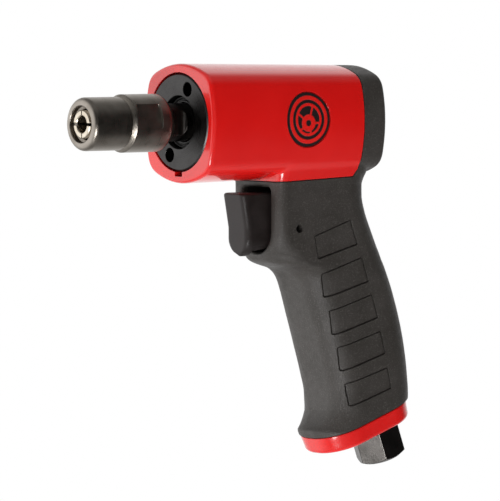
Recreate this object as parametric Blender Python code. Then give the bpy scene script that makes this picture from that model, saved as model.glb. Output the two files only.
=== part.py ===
"""Pistol-grip pneumatic die grinder, built from its separate parts.

Sizes are in millimetres in the spindle's own axes: X runs back along the spindle from the
barrel's front face, Y points to the far side and Z points up. One empty carries every part,
and places the model's origin at the middle of the grip.
"""
from math import asin, cos, pi, radians, sin, sqrt, tau

import bmesh
import bpy
from mathutils import Matrix, Vector

MM = 0.001
GAP = 0.3

# Barrel: a square section with bulged sides, drawn in at the rear
BARREL_LENGTH = 84.8
BARREL_HALF_WIDTH = 21.95
BARREL_TOP = 22.2
BARREL_BOTTOM = 23.2
BARREL_CORNER_Y = 19.0
BARREL_CORNER_TOP = 17.2
BARREL_CORNER_BOTTOM = 18.0
BARREL_TAPER = 0.0008
PARTING_X = 73.5
PARTING_STEP_X = 71.8
PARTING_STEP_Z = -18.4
NECK_PARTING_Z = -22.5

# Grip: the overmould's outer face, from station to station down the handle
GRIP_CENTRE = (81.0, 0.0, -75.0)
GRIP_HALF_WIDTH = 15.4
RUBBER = 2.6
GRIP_STATIONS = (
    # z, half width, front x, rear x, front corner radius, rear corner radius
    (-9.0, 18.4, 36.7, 82.0, 4.0, 12.0),
    (-17.6, 18.2, 36.7, 84.0, 4.0, 12.0),
    (-19.4, 16.9, 36.7, 84.2, 4.0, 12.0),
    (-21.6, 15.8, 36.7, 83.4, 4.0, 12.0),
    (-24.6, GRIP_HALF_WIDTH, 36.7, 82.3, 4.0, 12.0),
    (-29.0, GRIP_HALF_WIDTH, 36.7, 82.3, 4.0, 12.0),
    (-35.0, GRIP_HALF_WIDTH, 36.7, 83.6, 4.0, 12.0),
    (-42.0, GRIP_HALF_WIDTH, 36.7, 86.4, 4.5, 12.0),
    (-46.5, GRIP_HALF_WIDTH, 36.7, 88.4, 6.5, 12.0),
    (-49.6, GRIP_HALF_WIDTH, 36.7, 89.8, 9.5, 12.0),
    (-51.1, GRIP_HALF_WIDTH, 36.7, 90.6, 12.0, 12.0),
    (-52.2, GRIP_HALF_WIDTH, 36.9, 91.1, 12.5, 12.0),
    (-53.4, GRIP_HALF_WIDTH, 38.1, 91.6, 12.5, 12.0),
    (-54.5, GRIP_HALF_WIDTH, 39.9, 92.1, 12.5, 12.0),
    (-55.4, GRIP_HALF_WIDTH, 42.3, 92.6, 12.5, 12.0),
    (-57.2, GRIP_HALF_WIDTH, 48.3, 93.5, 12.0, 12.0),
    (-60.4, GRIP_HALF_WIDTH, 52.0, 94.9, 11.5, 12.0),
    (-65.2, GRIP_HALF_WIDTH, 54.6, 97.1, 10.5, 12.5),
    (-71.0, GRIP_HALF_WIDTH, 56.7, 99.1, 10.0, 12.5),
    (-77.0, GRIP_HALF_WIDTH, 58.8, 101.2, 9.5, 13.0),
    (-88.0, GRIP_HALF_WIDTH, 62.2, 103.8, 9.5, 13.0),
    (-98.0, GRIP_HALF_WIDTH, 65.2, 105.3, 9.5, 13.0),
    (-107.0, GRIP_HALF_WIDTH, 67.2, 106.0, 9.5, 13.0),
    (-112.0, GRIP_HALF_WIDTH, 67.0, 105.8, 10.5, 13.0),
    (-116.0, GRIP_HALF_WIDTH, 65.4, 105.4, 11.5, 13.0),
    (-118.5, GRIP_HALF_WIDTH, 63.5, 105.1, 12.8, 13.0),
    (-120.4, GRIP_HALF_WIDTH, 61.7, 104.8, 14.0, 13.0),
    (-123.0, GRIP_HALF_WIDTH, 62.7, 104.5, 14.3, 13.0),
    (-130.0, GRIP_HALF_WIDTH, 65.6, 103.2, 14.3, 13.0),
)

# Foot of the grip: everything below it is square to one tilted axis
FOOT_CENTRE = (83.65, 0.0, -115.3)
FOOT_TILT = 19.8
FOOT_HALF_LENGTH = 22.35
FOOT_HALF_WIDTH = 15.3
FOOT_FRONT_RADIUS = 14.3
FOOT_REAR_RADIUS = 13.0
BASE_CAP_THICKNESS = 7.2
INLET_OFFSET = 8.3
INLET_HEX = 17.5
INLET_HEX_TURN = 3.7
INLET_END = 20.7
INLET_BORE_RADIUS = 5.7

# Trigger and its pocket
POCKET_HALF_WIDTH = 8.75
POCKET_TOP = -25.2
POCKET_BOTTOM = -50.5
POCKET_BACK = 55.0
TRIGGER_HALF_WIDTH = 6.9
TRIGGER_TOP = -27.4
TRIGGER_BOTTOM = -51.6
TRIGGER_TRAVEL = 4.5
VALVE_Z = -41.0
TRIGGER_PIN_X = 46.0
TRIGGER_PIN_RADIUS = 1.25

# Air motor
MOTOR_BORE = 16.5
MOTOR_BORE_END = 67.2
CAP_RADIUS = 18.6
CAP_DEPTH = 6.5
CAP_OPENING = 10.1
PIN_HOLE_RADIUS = 2.7
PIN_HOLE_PLACE = (-5.6, 12.5)
SPINDLE_RADIUS = 7.2
SPINDLE_FLAT = 5.5
ROTOR_RADIUS = 11.4
ROTOR_START = 19.5
ROTOR_END = 55.1
VANES = 5
LINER_BORE = 13.0
LINER_OFFSET = -1.2
FRONT_BEARING = dict(x=7.1, width=7.0, bore=7.5, outer=14.0, balls=8)
REAR_BEARING = dict(x=58.6, width=7.0, bore=4.0, outer=11.0, balls=7)

# Collet and nut
NOSE_X = -45.4
NUT_RADIUS = 10.05
NUT_REAR_RADIUS = 10.95
NUT_STEP_X = -28.6
NUT_END_X = -7.2
NUT_FLAT = 9.8
NUT_FLAT_RANGE = (-25.9, -15.0)
NUT_TURN = -16.0
NUT_MOUTH_RADIUS = 6.9
COLLET_RADIUS = 5.3
SHANK_RADIUS = 3.175

BADGE_RADIUS = 10.35
BADGE_PLACE = (46.1, 0.7)

FINE = 28
COARSE = 24


# ---------------------------------------------------------------- outlines

def fillet(start, corner, end, steps):
    """Points of a curve that leaves start and reaches end, drawn towards the corner."""
    points = []
    for i in range(steps + 1):
        t = i / steps
        near = Vector(start).lerp(Vector(corner), t)
        far = Vector(corner).lerp(Vector(end), t)
        points.append(tuple(near.lerp(far, t)))
    return points


def barrel_section(x, inset=0.0, lowest=-99.0, side_steps=4, corner_steps=3):
    """The barrel's outline at one station: four shallow arcs joined by small round corners."""
    scale = 1.0 - BARREL_TAPER * x
    half = BARREL_HALF_WIDTH * scale - inset
    corner_y = BARREL_CORNER_Y * scale - 0.75 * inset
    points = []
    reach = 0.8
    for top, turn in ((True, 1), (True, -1), (False, -1), (False, 1)):
        height = (BARREL_TOP if top else BARREL_BOTTOM) * scale - inset
        corner_z = (BARREL_CORNER_TOP if top else BARREL_CORNER_BOTTOM) * scale - 0.75 * inset

        def on_side(t):
            return (half - (half - corner_y) * t * t, corner_z * t)

        def on_cap(t):
            return (corner_y * t, height - (height - corner_z) * t * t)

        side = [on_side(reach * i / side_steps) for i in range(side_steps)]
        cap = [on_cap(reach * i / side_steps) for i in range(side_steps)]
        corner = fillet(on_side(reach), (corner_y, corner_z), on_cap(reach), corner_steps)
        quarter = side + corner + cap[::-1]
        sign = 1 if top else -1
        quarter = [(turn * y, sign * z) for y, z in quarter]
        if turn * sign < 0:
            quarter.reverse()
        points += quarter[:-1]
    return [(x, y, max(z, lowest)) for y, z in points]


def rounded_slab(low, high, half, low_radius, high_radius, steps=4):
    """A flat-sided outline from low to high, with its own corner radius at each end."""
    low_radius = min(low_radius, half)
    high_radius = min(high_radius, half)
    corners = (
        (low + low_radius, -half + low_radius, low_radius, 180),
        (high - high_radius, -half + high_radius, high_radius, 270),
        (high - high_radius, half - high_radius, high_radius, 0),
        (low + low_radius, half - low_radius, low_radius, 90),
    )
    points = []
    for u, v, radius, start in corners:
        for i in range(steps + 1):
            angle = radians(start + 90 * i / steps)
            points.append((u + radius * cos(angle), v + radius * sin(angle)))
    return points


def grip_rings(inset):
    """Level outlines of the grip, from the barrel down past the foot."""
    rings = []
    for z, half, front, rear, front_radius, rear_radius in GRIP_STATIONS:
        outline = rounded_slab(front + inset, rear - inset, half - inset,
                               max(front_radius - inset, 1.0), rear_radius - inset)
        rings.append([(u, v, z) for u, v in outline])
    return rings


def circle(radius, steps, turn=0.0):
    return [(radius * cos(tau * i / steps + turn), radius * sin(tau * i / steps + turn))
            for i in range(steps)]


def rotor_outline():
    """The rotor's end view: round, with a parallel slot for each vane."""
    slot_half = 1.1
    slot_floor = 5.2
    edge = asin(slot_half / ROTOR_RADIUS)
    pitch = tau / VANES
    arc_steps = 4
    points = []
    for k in range(VANES):
        middle = k * pitch
        for along, across in ((slot_floor, -slot_half), (slot_floor, slot_half)):
            points.append((along * cos(middle) - across * sin(middle),
                           along * sin(middle) + across * cos(middle)))
        for i in range(arc_steps + 1):
            angle = middle + edge + (pitch - 2 * edge) * i / arc_steps
            points.append((ROTOR_RADIUS * cos(angle), ROTOR_RADIUS * sin(angle)))
    return points


# ---------------------------------------------------------------- solids

def finish(bm):
    bmesh.ops.remove_doubles(bm, verts=bm.verts, dist=1e-4)
    bmesh.ops.recalc_face_normals(bm, faces=bm.faces)
    return bm


def loft(rings):
    """A closed solid through outlines that all have the same number of points."""
    bm = bmesh.new()
    loops = [[bm.verts.new(p) for p in ring] for ring in rings]
    count = len(loops[0])
    for low, high in zip(loops, loops[1:]):
        for i in range(count):
            j = (i + 1) % count
            bm.faces.new((low[i], low[j], high[j], high[i]))
    bm.faces.new(loops[0])
    bm.faces.new(loops[-1])
    return finish(bm)


def prism_x(outline, start, end):
    return loft([[(x, y, z) for y, z in outline] for x in (start, end)])


def prism_y(outline, start, end):
    return loft([[(x, y, z) for x, z in outline] for y in (start, end)])


def prism_z(outline, start, end):
    return loft([[(x, y, z) for x, y in outline] for z in (start, end)])


def block(low, high):
    bm = bmesh.new()
    size = Vector(high) - Vector(low)
    middle = (Vector(high) + Vector(low)) / 2
    bmesh.ops.create_cube(bm, size=1.0, matrix=Matrix.Translation(middle) @ Matrix.Diagonal((*size, 1)))
    return bm


def turned(profile, segments=COARSE, ring=True):
    """Turns (x, radius) points about the X axis. A ring's profile is a closed loop."""
    bm = bmesh.new()
    verts = [bm.verts.new((x, 0.0, radius)) for x, radius in profile]
    edges = [bm.edges.new(pair) for pair in zip(verts, verts[1:])]
    if ring:
        edges.append(bm.edges.new((verts[-1], verts[0])))
    bmesh.ops.spin(bm, geom=verts + edges, cent=(0, 0, 0), axis=(1, 0, 0), angle=tau,
                   steps=segments, use_merge=True)
    return finish(bm)


def tube(start, end, inner, outer, segments=COARSE):
    return turned(((start, inner), (end, inner), (end, outer), (start, outer)), segments)


def rod(start, end, radius, segments=COARSE):
    return turned(((start, 0.0), (start, radius), (end, radius), (end, 0.0)), segments, ring=False)


def o_ring(x, radius, thickness, segments=COARSE):
    section = [(x + thickness * cos(tau * i / 6), radius + thickness * sin(tau * i / 6))
               for i in range(6)]
    return turned(section, segments)


def aimed(bm, place, direction):
    """Moves a solid made along X to a place, with X turned to a direction."""
    turn = Vector((1, 0, 0)).rotation_difference(Vector(direction).normalized())
    bm.transform(Matrix.Translation(place) @ turn.to_matrix().to_4x4())
    return bm


def foot_axis():
    """The foot's own axes: its length, the far side, and straight down out of the grip."""
    tilt = radians(FOOT_TILT)
    along = Vector((cos(tilt), 0.0, sin(tilt)))
    down = Vector((sin(tilt), 0.0, -cos(tilt)))
    return along, Vector((0, 1, 0)), down


def at_foot(along, across, down):
    u, v, w = foot_axis()
    return Vector(FOOT_CENTRE) + u * along + v * across + w * down


def foot_loft(layers):
    """A solid through outlines laid square to the foot's axis, each given with its depth."""
    return loft([[at_foot(p, q, depth) for p, q in outline] for depth, outline in layers])


def foot_outline(inset):
    return rounded_slab(-FOOT_HALF_LENGTH + inset, FOOT_HALF_LENGTH - inset,
                        FOOT_HALF_WIDTH - inset, FOOT_FRONT_RADIUS - inset,
                        FOOT_REAR_RADIUS - inset)


def inlet_turned(profile, ring=True, segments=COARSE):
    """A turned solid on the air inlet's axis. Its first number is the depth below the foot."""
    return aimed(turned(profile, segments, ring), at_foot(INLET_OFFSET, 0, 0), foot_axis()[2])


# ---------------------------------------------------------------- objects

def material(name, colour, roughness, metallic):
    made = bpy.data.materials.new(name)
    made.use_nodes = True
    shader = made.node_tree.nodes["Principled BSDF"]
    shader.inputs["Base Color"].default_value = (*colour, 1.0)
    shader.inputs["Roughness"].default_value = roughness
    shader.inputs["Metallic"].default_value = metallic
    made.diffuse_color = (*colour, 1.0)
    return made


def place(name, bm, at=(0.0, 0.0, 0.0)):
    """An object from a solid in millimetres, with its own origin at the given place."""
    bm.transform(Matrix.Scale(MM, 4) @ Matrix.Translation(-Vector(at)))
    mesh = bpy.data.meshes.new(name)
    bm.to_mesh(mesh)
    bm.free()
    mesh.shade_smooth()
    mesh.set_sharp_from_angle(angle=radians(35))
    made = bpy.data.objects.new(name, mesh)
    bpy.context.scene.collection.objects.link(made)
    made.parent = AXES
    made.location = Vector(at) * MM
    return made


def part(name, bm, look, at=(0.0, 0.0, 0.0)):
    made = place(name, bm, at)
    made.data.materials.append(material(name, *LOOKS[look]))
    return made


def guide(name, bm):
    """A solid that only shapes others: it is drawn as a wire and never rendered."""
    made = place(name, bm)
    made.display_type = "WIRE"
    made.hide_render = True
    return made


def combine(target, operation, *others):
    for other in others:
        step = target.modifiers.new(f"{operation.lower()} {other.name}"[:60], "BOOLEAN")
        step.operation = operation
        step.solver = "EXACT"
        step.object = other
    return target


def cut(target, *others):
    return combine(target, "DIFFERENCE", *others)


def join(target, *others):
    return combine(target, "UNION", *others)


LOOKS = {
    "red_paint": ((0.56, 0.012, 0.010), 0.22, 0.0),
    "rubber": ((0.045, 0.042, 0.040), 0.55, 0.0),
    "black_plastic": ((0.035, 0.032, 0.032), 0.32, 0.0),
    "black_oxide": ((0.16, 0.14, 0.125), 0.30, 1.0),
    "turned_steel": ((0.40, 0.39, 0.38), 0.28, 1.0),
    "bright_steel": ((0.62, 0.60, 0.57), 0.22, 1.0),
    "bronze_steel": ((0.60, 0.54, 0.45), 0.30, 1.0),
    "aluminium": ((0.62, 0.62, 0.63), 0.38, 1.0),
    "brass": ((0.68, 0.48, 0.18), 0.30, 1.0),
    "seal": ((0.015, 0.015, 0.015), 0.60, 0.0),
    "vane_fibre": ((0.22, 0.15, 0.08), 0.60, 0.0),
    "felt": ((0.32, 0.31, 0.28), 0.95, 0.0),
    "badge": ((0.05, 0.012, 0.012), 0.25, 0.0),
}


# ---------------------------------------------------------------- shared guides

def barrel_loft(front, back, grow=0.0, lowest=-99.0):
    return loft([barrel_section(front, -grow, lowest), barrel_section(back, -grow, lowest)])


def pocket_outline():
    """The trigger pocket from the front: chamfered at the top, half round at the bottom."""
    half = POCKET_HALF_WIDTH
    centre = POCKET_BOTTOM + half
    arc = [(-half * cos(pi * i / 12), centre - half * sin(pi * i / 12)) for i in range(13)]
    return [(half - 2, POCKET_TOP), (2 - half, POCKET_TOP), (-half, POCKET_TOP - 2), *arc,
            (half, POCKET_TOP - 2)]


def shared_guides():
    """Solids that cut both the housing and the overmould, so the two always agree."""
    pin_hole = aimed(rod(-20, 20, TRIGGER_PIN_RADIUS + 0.35, 16),
                     (TRIGGER_PIN_X, 0, VALVE_Z), (0, 1, 0))
    return {
        "pocket": guide("cut_trigger_pocket", prism_x(pocket_outline(), 30, POCKET_BACK)),
        "pin": guide("cut_pin_hole", pin_hole),
    }


# ---------------------------------------------------------------- housing and grip

def below_foot(depth):
    """A block that takes away everything more than a depth below the foot's plane."""
    outline = ((-40, -30), (40, -30), (40, 30), (-40, 30))
    return foot_loft([(depth, outline), (depth + 40, outline)])


def barrel_rings():
    """The barrel's outside: rounded front edge, parting step, then the spigot for the rubber."""
    rings = [barrel_section(0.0, 1.3), barrel_section(0.4, 0.5), barrel_section(2.0, 0.0)]
    rings.append(barrel_section(PARTING_STEP_X, 0.0))
    rings.append(barrel_section(PARTING_STEP_X, 0.0, PARTING_STEP_Z))
    rings.append(barrel_section(PARTING_X, 0.0, PARTING_STEP_Z))
    rings.append(barrel_section(PARTING_X, 3.3, PARTING_STEP_Z))
    rings.append(barrel_section(BARREL_LENGTH - 3.6, 3.3, PARTING_STEP_Z))
    return rings


def neck_rings():
    """The top of the handle as cast with the barrel, from the barrel down to the parting line."""
    rings = []
    for z, half, front, rear, front_radius, rear_radius in GRIP_STATIONS[:5]:
        outline = rounded_slab(front, PARTING_STEP_X, half, front_radius, 0.5)
        rings.append([(u, v, max(z, NECK_PARTING_Z)) for u, v in outline])
    return rings


def motor_housing(guides):
    housing = part("motor_housing", loft(barrel_rings()), "red_paint")
    join(housing, guide("add_handle_core", loft(grip_rings(RUBBER + GAP))))
    join(housing, guide("add_neck", loft(neck_rings())))
    cut(housing, guide("cut_core_end", below_foot(-1.4)))
    bores = turned(((-2, 0), (-2, CAP_RADIUS + GAP), (CAP_DEPTH + GAP, CAP_RADIUS + GAP),
                    (CAP_DEPTH + GAP, MOTOR_BORE), (MOTOR_BORE_END, MOTOR_BORE),
                    (MOTOR_BORE_END, 0)), COARSE, ring=False)
    cut(housing, guide("cut_motor_bore", bores))
    notch = block((-1, -2.4, -CAP_RADIUS - 1.6), (1.5, 2.4, -CAP_RADIUS + 1))
    cut(housing, guide("cut_cap_notch", notch))
    cut(housing, guides["pocket"], guides["pin"])
    valve = aimed(rod(POCKET_BACK - 3, 81.4, 7.0), (0, 0, VALVE_Z), (1, 0, 0))
    cut(housing, guide("cut_valve_bore", valve))
    riser = aimed(rod(0, 20, 2.6, 16), (60.5, 0, -35.5), (0, 0, 1))
    cut(housing, guide("cut_motor_inlet", riser))
    start = at_foot(INLET_OFFSET, 0, 0)
    passage = Vector((76.0, 0, VALVE_Z)) - start
    cut(housing, guide("cut_air_passage", aimed(rod(0, passage.length, 4.4, 16), start, passage)))
    socket = inlet_turned(((-13.6, 0), (-13.6, 8.3), (2, 8.3), (2, 0)), ring=False)
    cut(housing, guide("cut_inlet_socket", socket))
    chamber = [(p.x, p.z) for p in (Vector((61.5, 0, -59)), Vector((72.5, 0, -59)),
                                    at_foot(-1.9, 0, -16), at_foot(-1.9, 0, 4),
                                    at_foot(-14.2, 0, 4), at_foot(-8.6, 0, -13))]
    cut(housing, guide("cut_exhaust_chamber", prism_y(chamber, -8.9, 8.9)))
    for side in (-1, 1):
        duct = aimed(rod(0, 52, 1.5, 12), (64.5, side * 9.9, -64.0), (0, 0, 1))
        cut(housing, guide("cut_exhaust_duct_" + ("far" if side > 0 else "near"), duct))
    return housing


def grip_overmould(guides):
    """One rubber moulding: the rear cap and the whole handle skin."""
    rear = [barrel_section(PARTING_X - 12, 0.0), barrel_section(BARREL_LENGTH - 2.0, 0.0),
            barrel_section(BARREL_LENGTH - 0.7, 0.5), barrel_section(BARREL_LENGTH, 1.6)]
    grip = part("grip_overmould", loft(rear), "rubber")
    join(grip, guide("add_grip_outside", loft(grip_rings(0.0))))
    lap = PARTING_STEP_X + GAP
    cut(grip, guide("cut_neck_seat", block((0, -30, NECK_PARTING_Z - GAP), (lap, 30, 30))))
    seat = block((0, -30, PARTING_STEP_Z - GAP), (PARTING_X + GAP, 30, 30))
    cut(grip, guide("cut_barrel_seat", seat))
    spigot = loft([barrel_section(x, 3.0, PARTING_STEP_Z - GAP)
                   for x in (PARTING_X - 2, BARREL_LENGTH - 3.3)])
    cut(grip, guide("cut_spigot_seat", spigot))
    cut(grip, guide("cut_handle_core", loft(grip_rings(RUBBER))))
    cut(grip, guide("cut_grip_end", below_foot(0.0)))
    cut(grip, guides["pocket"], guides["pin"])
    return grip


def badges(housing):
    """A thin round badge on each side, following the barrel's curve in a shallow recess."""
    x, z = BADGE_PLACE
    skin = guide("shape_badge_face", barrel_loft(25, 65, 0.25))
    back = guide("cut_badge_back", barrel_loft(20, 70, -0.45))
    floor = guide("cut_recess_floor", barrel_loft(20, 70, -0.8))
    for name, side in (("badge_near", -1), ("badge_far", 1)):
        disc = aimed(rod(10, 30, BADGE_RADIUS, FINE), (x, 0, z), (0, side, 0))
        badge = part(name, disc, "badge")
        combine(badge, "INTERSECT", skin)
        cut(badge, back)
        recess = aimed(rod(10, 30, BADGE_RADIUS + GAP, FINE), (x, 0, z), (0, side, 0))
        recess = guide("cut_recess_" + name, recess)
        cut(recess, floor)
        cut(housing, recess)


# ---------------------------------------------------------------- foot of the grip

def base_cap():
    layers = [(0.35, foot_outline(0.2)), (BASE_CAP_THICKNESS - 1.5, foot_outline(0.55)),
              (BASE_CAP_THICKNESS - 0.4, foot_outline(1.1)),
              (BASE_CAP_THICKNESS, foot_outline(2.2))]
    cap = part("base_cap", foot_loft(layers), "red_paint")
    hole = inlet_turned(((-2, 0), (-2, 8.3), (12, 8.3), (12, 0)), ring=False)
    cut(cap, guide("cut_inlet_hole", hole))
    for k in range(3):
        u = -14.5 + 4.2 * k
        half = 4.6 + 1.2 * k
        slot = rounded_slab(u - 1.1, u + 1.1, half, 1.1, 1.1, 3)
        cut(cap, guide(f"cut_exhaust_slot_{k + 1}", foot_loft([(-2, slot), (10, slot)])))
    return cap


def base_gasket():
    gasket = part("base_gasket", foot_loft([(-1.1, foot_outline(3.4)), (0.0, foot_outline(3.4))]),
                  "seal")
    hole = inlet_turned(((-5, 0), (-5, 8.7), (5, 8.7), (5, 0)), ring=False)
    cut(gasket, guide("cut_gasket_hole", hole))
    window = rounded_slab(-14.2, -2.0, 8.6, 3, 2, 3)
    cut(gasket, guide("cut_gasket_window", foot_loft([(-4, window), (4, window)])))
    return gasket


def inlet_bushing():
    """Hexagonal inlet fitting: its threaded shank goes up through the base cap."""
    start = BASE_CAP_THICKNESS + GAP
    across = INLET_HEX / 2
    corner = INLET_HEX / sqrt(3)
    turn = radians(INLET_HEX_TURN)

    def hexagon(radius):
        return [(p + INLET_OFFSET, q) for p, q in circle(radius, 6, turn)]

    bush = part("inlet_bushing", foot_loft([(start, hexagon(corner)), (INLET_END, hexagon(corner))]),
                "bright_steel")
    chamfer = inlet_turned(((start - 1, 0), (start - 1, across + 0.4), (start + 0.7, corner + 0.2),
                            (INLET_END - 1.6, corner + 0.2), (INLET_END, across - 0.7),
                            (INLET_END, 0)), False, FINE)
    combine(bush, "INTERSECT", guide("shape_inlet_chamfer", chamfer))
    shank = inlet_turned(((-13.0, 0), (-13.0, 7.3), (-11.6, 8.0), (start + 2, 8.0),
                          (start + 2, 0)), ring=False)
    join(bush, guide("add_inlet_shank", shank))
    bore = inlet_turned(((-20, 0), (-20, 4.4), (-1.0, 4.4), (-1.0, INLET_BORE_RADIUS),
                         (INLET_END - 1.2, INLET_BORE_RADIUS), (INLET_END + 1, 7.6),
                         (INLET_END + 1, 0)), ring=False)
    cut(bush, guide("cut_inlet_bore", bore))
    groove = inlet_turned(((-8.6, 6.75), (-6.6, 6.75), (-6.6, 9.5), (-8.6, 9.5)))
    cut(bush, guide("cut_inlet_seal_groove", groove))
    return bush


def inlet_screen():
    """A shallow dished strainer at the bottom of the inlet bore."""
    return part("inlet_screen", inlet_turned(((-0.6, 0), (-0.6, 5.3), (0.3, 5.3), (0.3, 3.4),
                                              (2.2, 1.8), (2.2, 0)), ring=False), "brass")


def inlet_o_ring():
    return part("inlet_o_ring", inlet_turned([(-7.6 + 0.55 * cos(tau * i / 6),
                                              7.62 + 0.55 * sin(tau * i / 6))
                                             for i in range(6)]), "seal")


def exhaust_muffler():
    """A felt block in the mouth of the exhaust chamber, above the base cap's slots."""
    top = rounded_slab(-8.1, -2.3, 8.5, 2, 2, 2)
    bottom = rounded_slab(-11.8, -2.3, 8.5, 2, 2, 2)
    return part("exhaust_muffler", foot_loft([(-13, top), (-1.6, bottom)]), "felt")


# ---------------------------------------------------------------- trigger and valve

def trigger_front(z):
    """The trigger's front face: upright at the finger, falling back at its lower end."""
    depth = (TRIGGER_TOP - z) / (TRIGGER_TOP - TRIGGER_BOTTOM)
    return 25.2 + 2.4 * min(depth / 0.55, 1.0) + 0.9 * max((depth - 0.72) / 0.28, 0.0) ** 2


def trigger():
    """The finger piece lies in level slices, widest at the top and round at its lower end."""
    lower_centre = TRIGGER_BOTTOM + TRIGGER_HALF_WIDTH
    rings = []
    for i in range(17):
        z = TRIGGER_TOP + (TRIGGER_BOTTOM + 0.12 - TRIGGER_TOP) * i / 16
        drop = min(z - lower_centre, 0.0)
        half = sqrt(TRIGGER_HALF_WIDTH ** 2 - drop ** 2)
        back = 44.0 if z > -46.5 else 31.5
        edge = min(2.4, half * 0.8)
        front = trigger_front(z)
        if i == 0:
            front += 1.0
            half -= 0.8
        rings.append([(u, v, z) for u, v in rounded_slab(front, back, half, edge, 0.6, 3)])
    body = part("trigger", loft(rings), "black_plastic",
                at=(TRIGGER_PIN_X, 0, VALVE_Z))
    join(body, guide("add_trigger_tail", block((38, -3.6, -46.2), (49.6, 3.6, -35.4))))
    join(body, guide("add_trigger_heel", block((30, -3.6, -49.3), (43, 3.6, -45))))
    slot_front = TRIGGER_PIN_X - TRIGGER_TRAVEL - TRIGGER_PIN_RADIUS - 0.35
    slot_back = TRIGGER_PIN_X + TRIGGER_PIN_RADIUS + 0.35
    slot_middle = (slot_front + slot_back) / 2
    slot_half = (slot_back - slot_front) / 2
    outline = rounded_slab(slot_middle - slot_half, slot_middle + slot_half,
                           TRIGGER_PIN_RADIUS + 0.35, 1.6, 1.6, 4)
    outline = [(x, y + VALVE_Z) for x, y in outline]
    return cut(body, guide("cut_trigger_slot", prism_y(outline, -12, 12)))


def trigger_pin():
    pin = aimed(rod(-15.1, 15.1, TRIGGER_PIN_RADIUS, 16), (TRIGGER_PIN_X, 0, VALVE_Z), (0, 1, 0))
    return part("trigger_pin", pin, "bright_steel")


def on_valve(bm):
    return aimed(bm, (0, 0, VALVE_Z), (1, 0, 0))


def valve():
    """The throttle valve: a stem pushed by the trigger through a fixed bush."""
    bush = part("valve_bush", on_valve(turned((
        (POCKET_BACK + 0.3, 2.15), (57.2, 2.15), (57.2, 3.5), (64.0, 3.5), (64.0, 6.7),
        (62.4, 6.7), (62.4, 5.4), (60.8, 5.4), (60.8, 6.7), (POCKET_BACK + 0.3, 6.7)), 20)),
        "brass")
    part("valve_bush_o_ring", on_valve(o_ring(61.6, 6.1, 0.45, 16)), "seal")
    port = aimed(rod(2.5, 9, 1.4, 12), (58.6, 0, VALVE_Z), (0, 0, 1))
    cut(bush, guide("cut_bush_port", port))
    part("valve_stem", on_valve(turned((
        (49.9, 0), (49.9, 1.8), (64.3, 1.8), (64.3, 3.1), (65.6, 3.1), (65.6, 4.9), (67.0, 4.9),
        (67.0, 2.6), (69.5, 2.6), (69.5, 0)), 16, ring=False)), "bright_steel",
         at=(TRIGGER_PIN_X, 0, VALVE_Z))
    part("valve_seal", on_valve(tube(64.35, 65.3, 3.45, 4.8, 16)), "seal",
         at=(TRIGGER_PIN_X, 0, VALVE_Z))
    part("valve_spring", valve_spring_solid(), "bright_steel")


def valve_spring_solid():
    """A round-wire coil, open at both ends, between the stem's head and the bore's floor."""
    start, end, coil, wire, turns, steps, sides = 67.9, 80.5, 3.9, 0.5, 5, 12, 5
    rings = []
    for i in range(turns * steps + 1):
        angle = tau * i / steps
        x = start + (end - start) * i / (turns * steps)
        radial = Vector((0, cos(angle), sin(angle)))
        ring = []
        for k in range(sides):
            around = tau * k / sides
            point = Vector((x, 0, VALVE_Z)) + radial * (coil + wire * cos(around))
            ring.append(tuple(point + Vector((wire * sin(around), 0, 0))))
        rings.append(ring)
    return loft(rings)


# ---------------------------------------------------------------- air motor

def front_cap():
    """Screwed ring that closes the barrel: two holes take a pin spanner."""
    cap = part("front_cap", turned((
        (0.0, CAP_OPENING), (0.0, CAP_RADIUS - 0.7), (0.7, CAP_RADIUS), (3.4, CAP_RADIUS),
        (3.4, CAP_RADIUS - 1.4), (5.2, CAP_RADIUS - 1.4), (5.2, CAP_RADIUS),
        (CAP_DEPTH, CAP_RADIUS), (CAP_DEPTH, CAP_OPENING)), FINE), "turned_steel")
    y, z = PIN_HOLE_PLACE
    for number, sign in ((1, 1), (2, -1)):
        hole = rod(-1, 3.0, PIN_HOLE_RADIUS, 16)
        hole.transform(Matrix.Translation((0, sign * y, sign * z)))
        cut(cap, guide(f"cut_pin_spanner_hole_{number}", hole))
    return cap


def bearing(name, x, width, bore, outer, balls):
    """Outer race, inner race and a ball cage with its balls, each free of the others."""
    wall = (outer - bore) * 0.277
    middle = (outer + bore) / 2
    ball = (outer - bore) / 2 - wall - GAP
    part(f"{name}_outer_race", tube(x, x + width, outer - wall, outer), "bright_steel")
    part(f"{name}_inner_race", tube(x, x + width, bore, bore + wall), "bright_steel")
    cage = part(f"{name}_ball_cage", tube(x + width / 2 - 0.9, x + width / 2 + 0.9,
                                          middle - 0.45, middle + 0.45), "brass")
    for i in range(balls):
        bm = bmesh.new()
        angle = tau * (i + 0.5) / balls
        centre = (x + width / 2, middle * cos(angle), middle * sin(angle))
        bmesh.ops.create_uvsphere(bm, u_segments=8, v_segments=4, radius=ball,
                                  matrix=Matrix.Translation(centre))
        join(cage, guide(f"add_{name}_ball_{i + 1}", bm))


def liner():
    """The cylinder the vanes run in: its bore is off centre, thick at the top."""
    body = part("cylinder_liner", rod(19.2, 55.4, MOTOR_BORE - GAP), "bright_steel")
    bore = rod(10, 65, LINER_BORE)
    bore.transform(Matrix.Translation((0, 0, LINER_OFFSET)))
    cut(body, guide("cut_liner_bore", bore))
    cut(body, guide("cut_liner_dowel", dowel_hole(10, 65)))
    for k in range(3):
        x = 28 + 9.3 * k
        slot = rounded_slab(-4.5, 4.5, 1.2, 1.2, 1.2, 2)
        outline = [(x + v, u) for u, v in slot]
        cut(body, guide(f"cut_liner_port_{k + 1}", prism_z(outline, -20, -8)))
    return body


def dowel_hole(start, end):
    hole = rod(start, end, 1.3, 12)
    hole.transform(Matrix.Translation((0, 0, 13.9)))
    return hole


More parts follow.
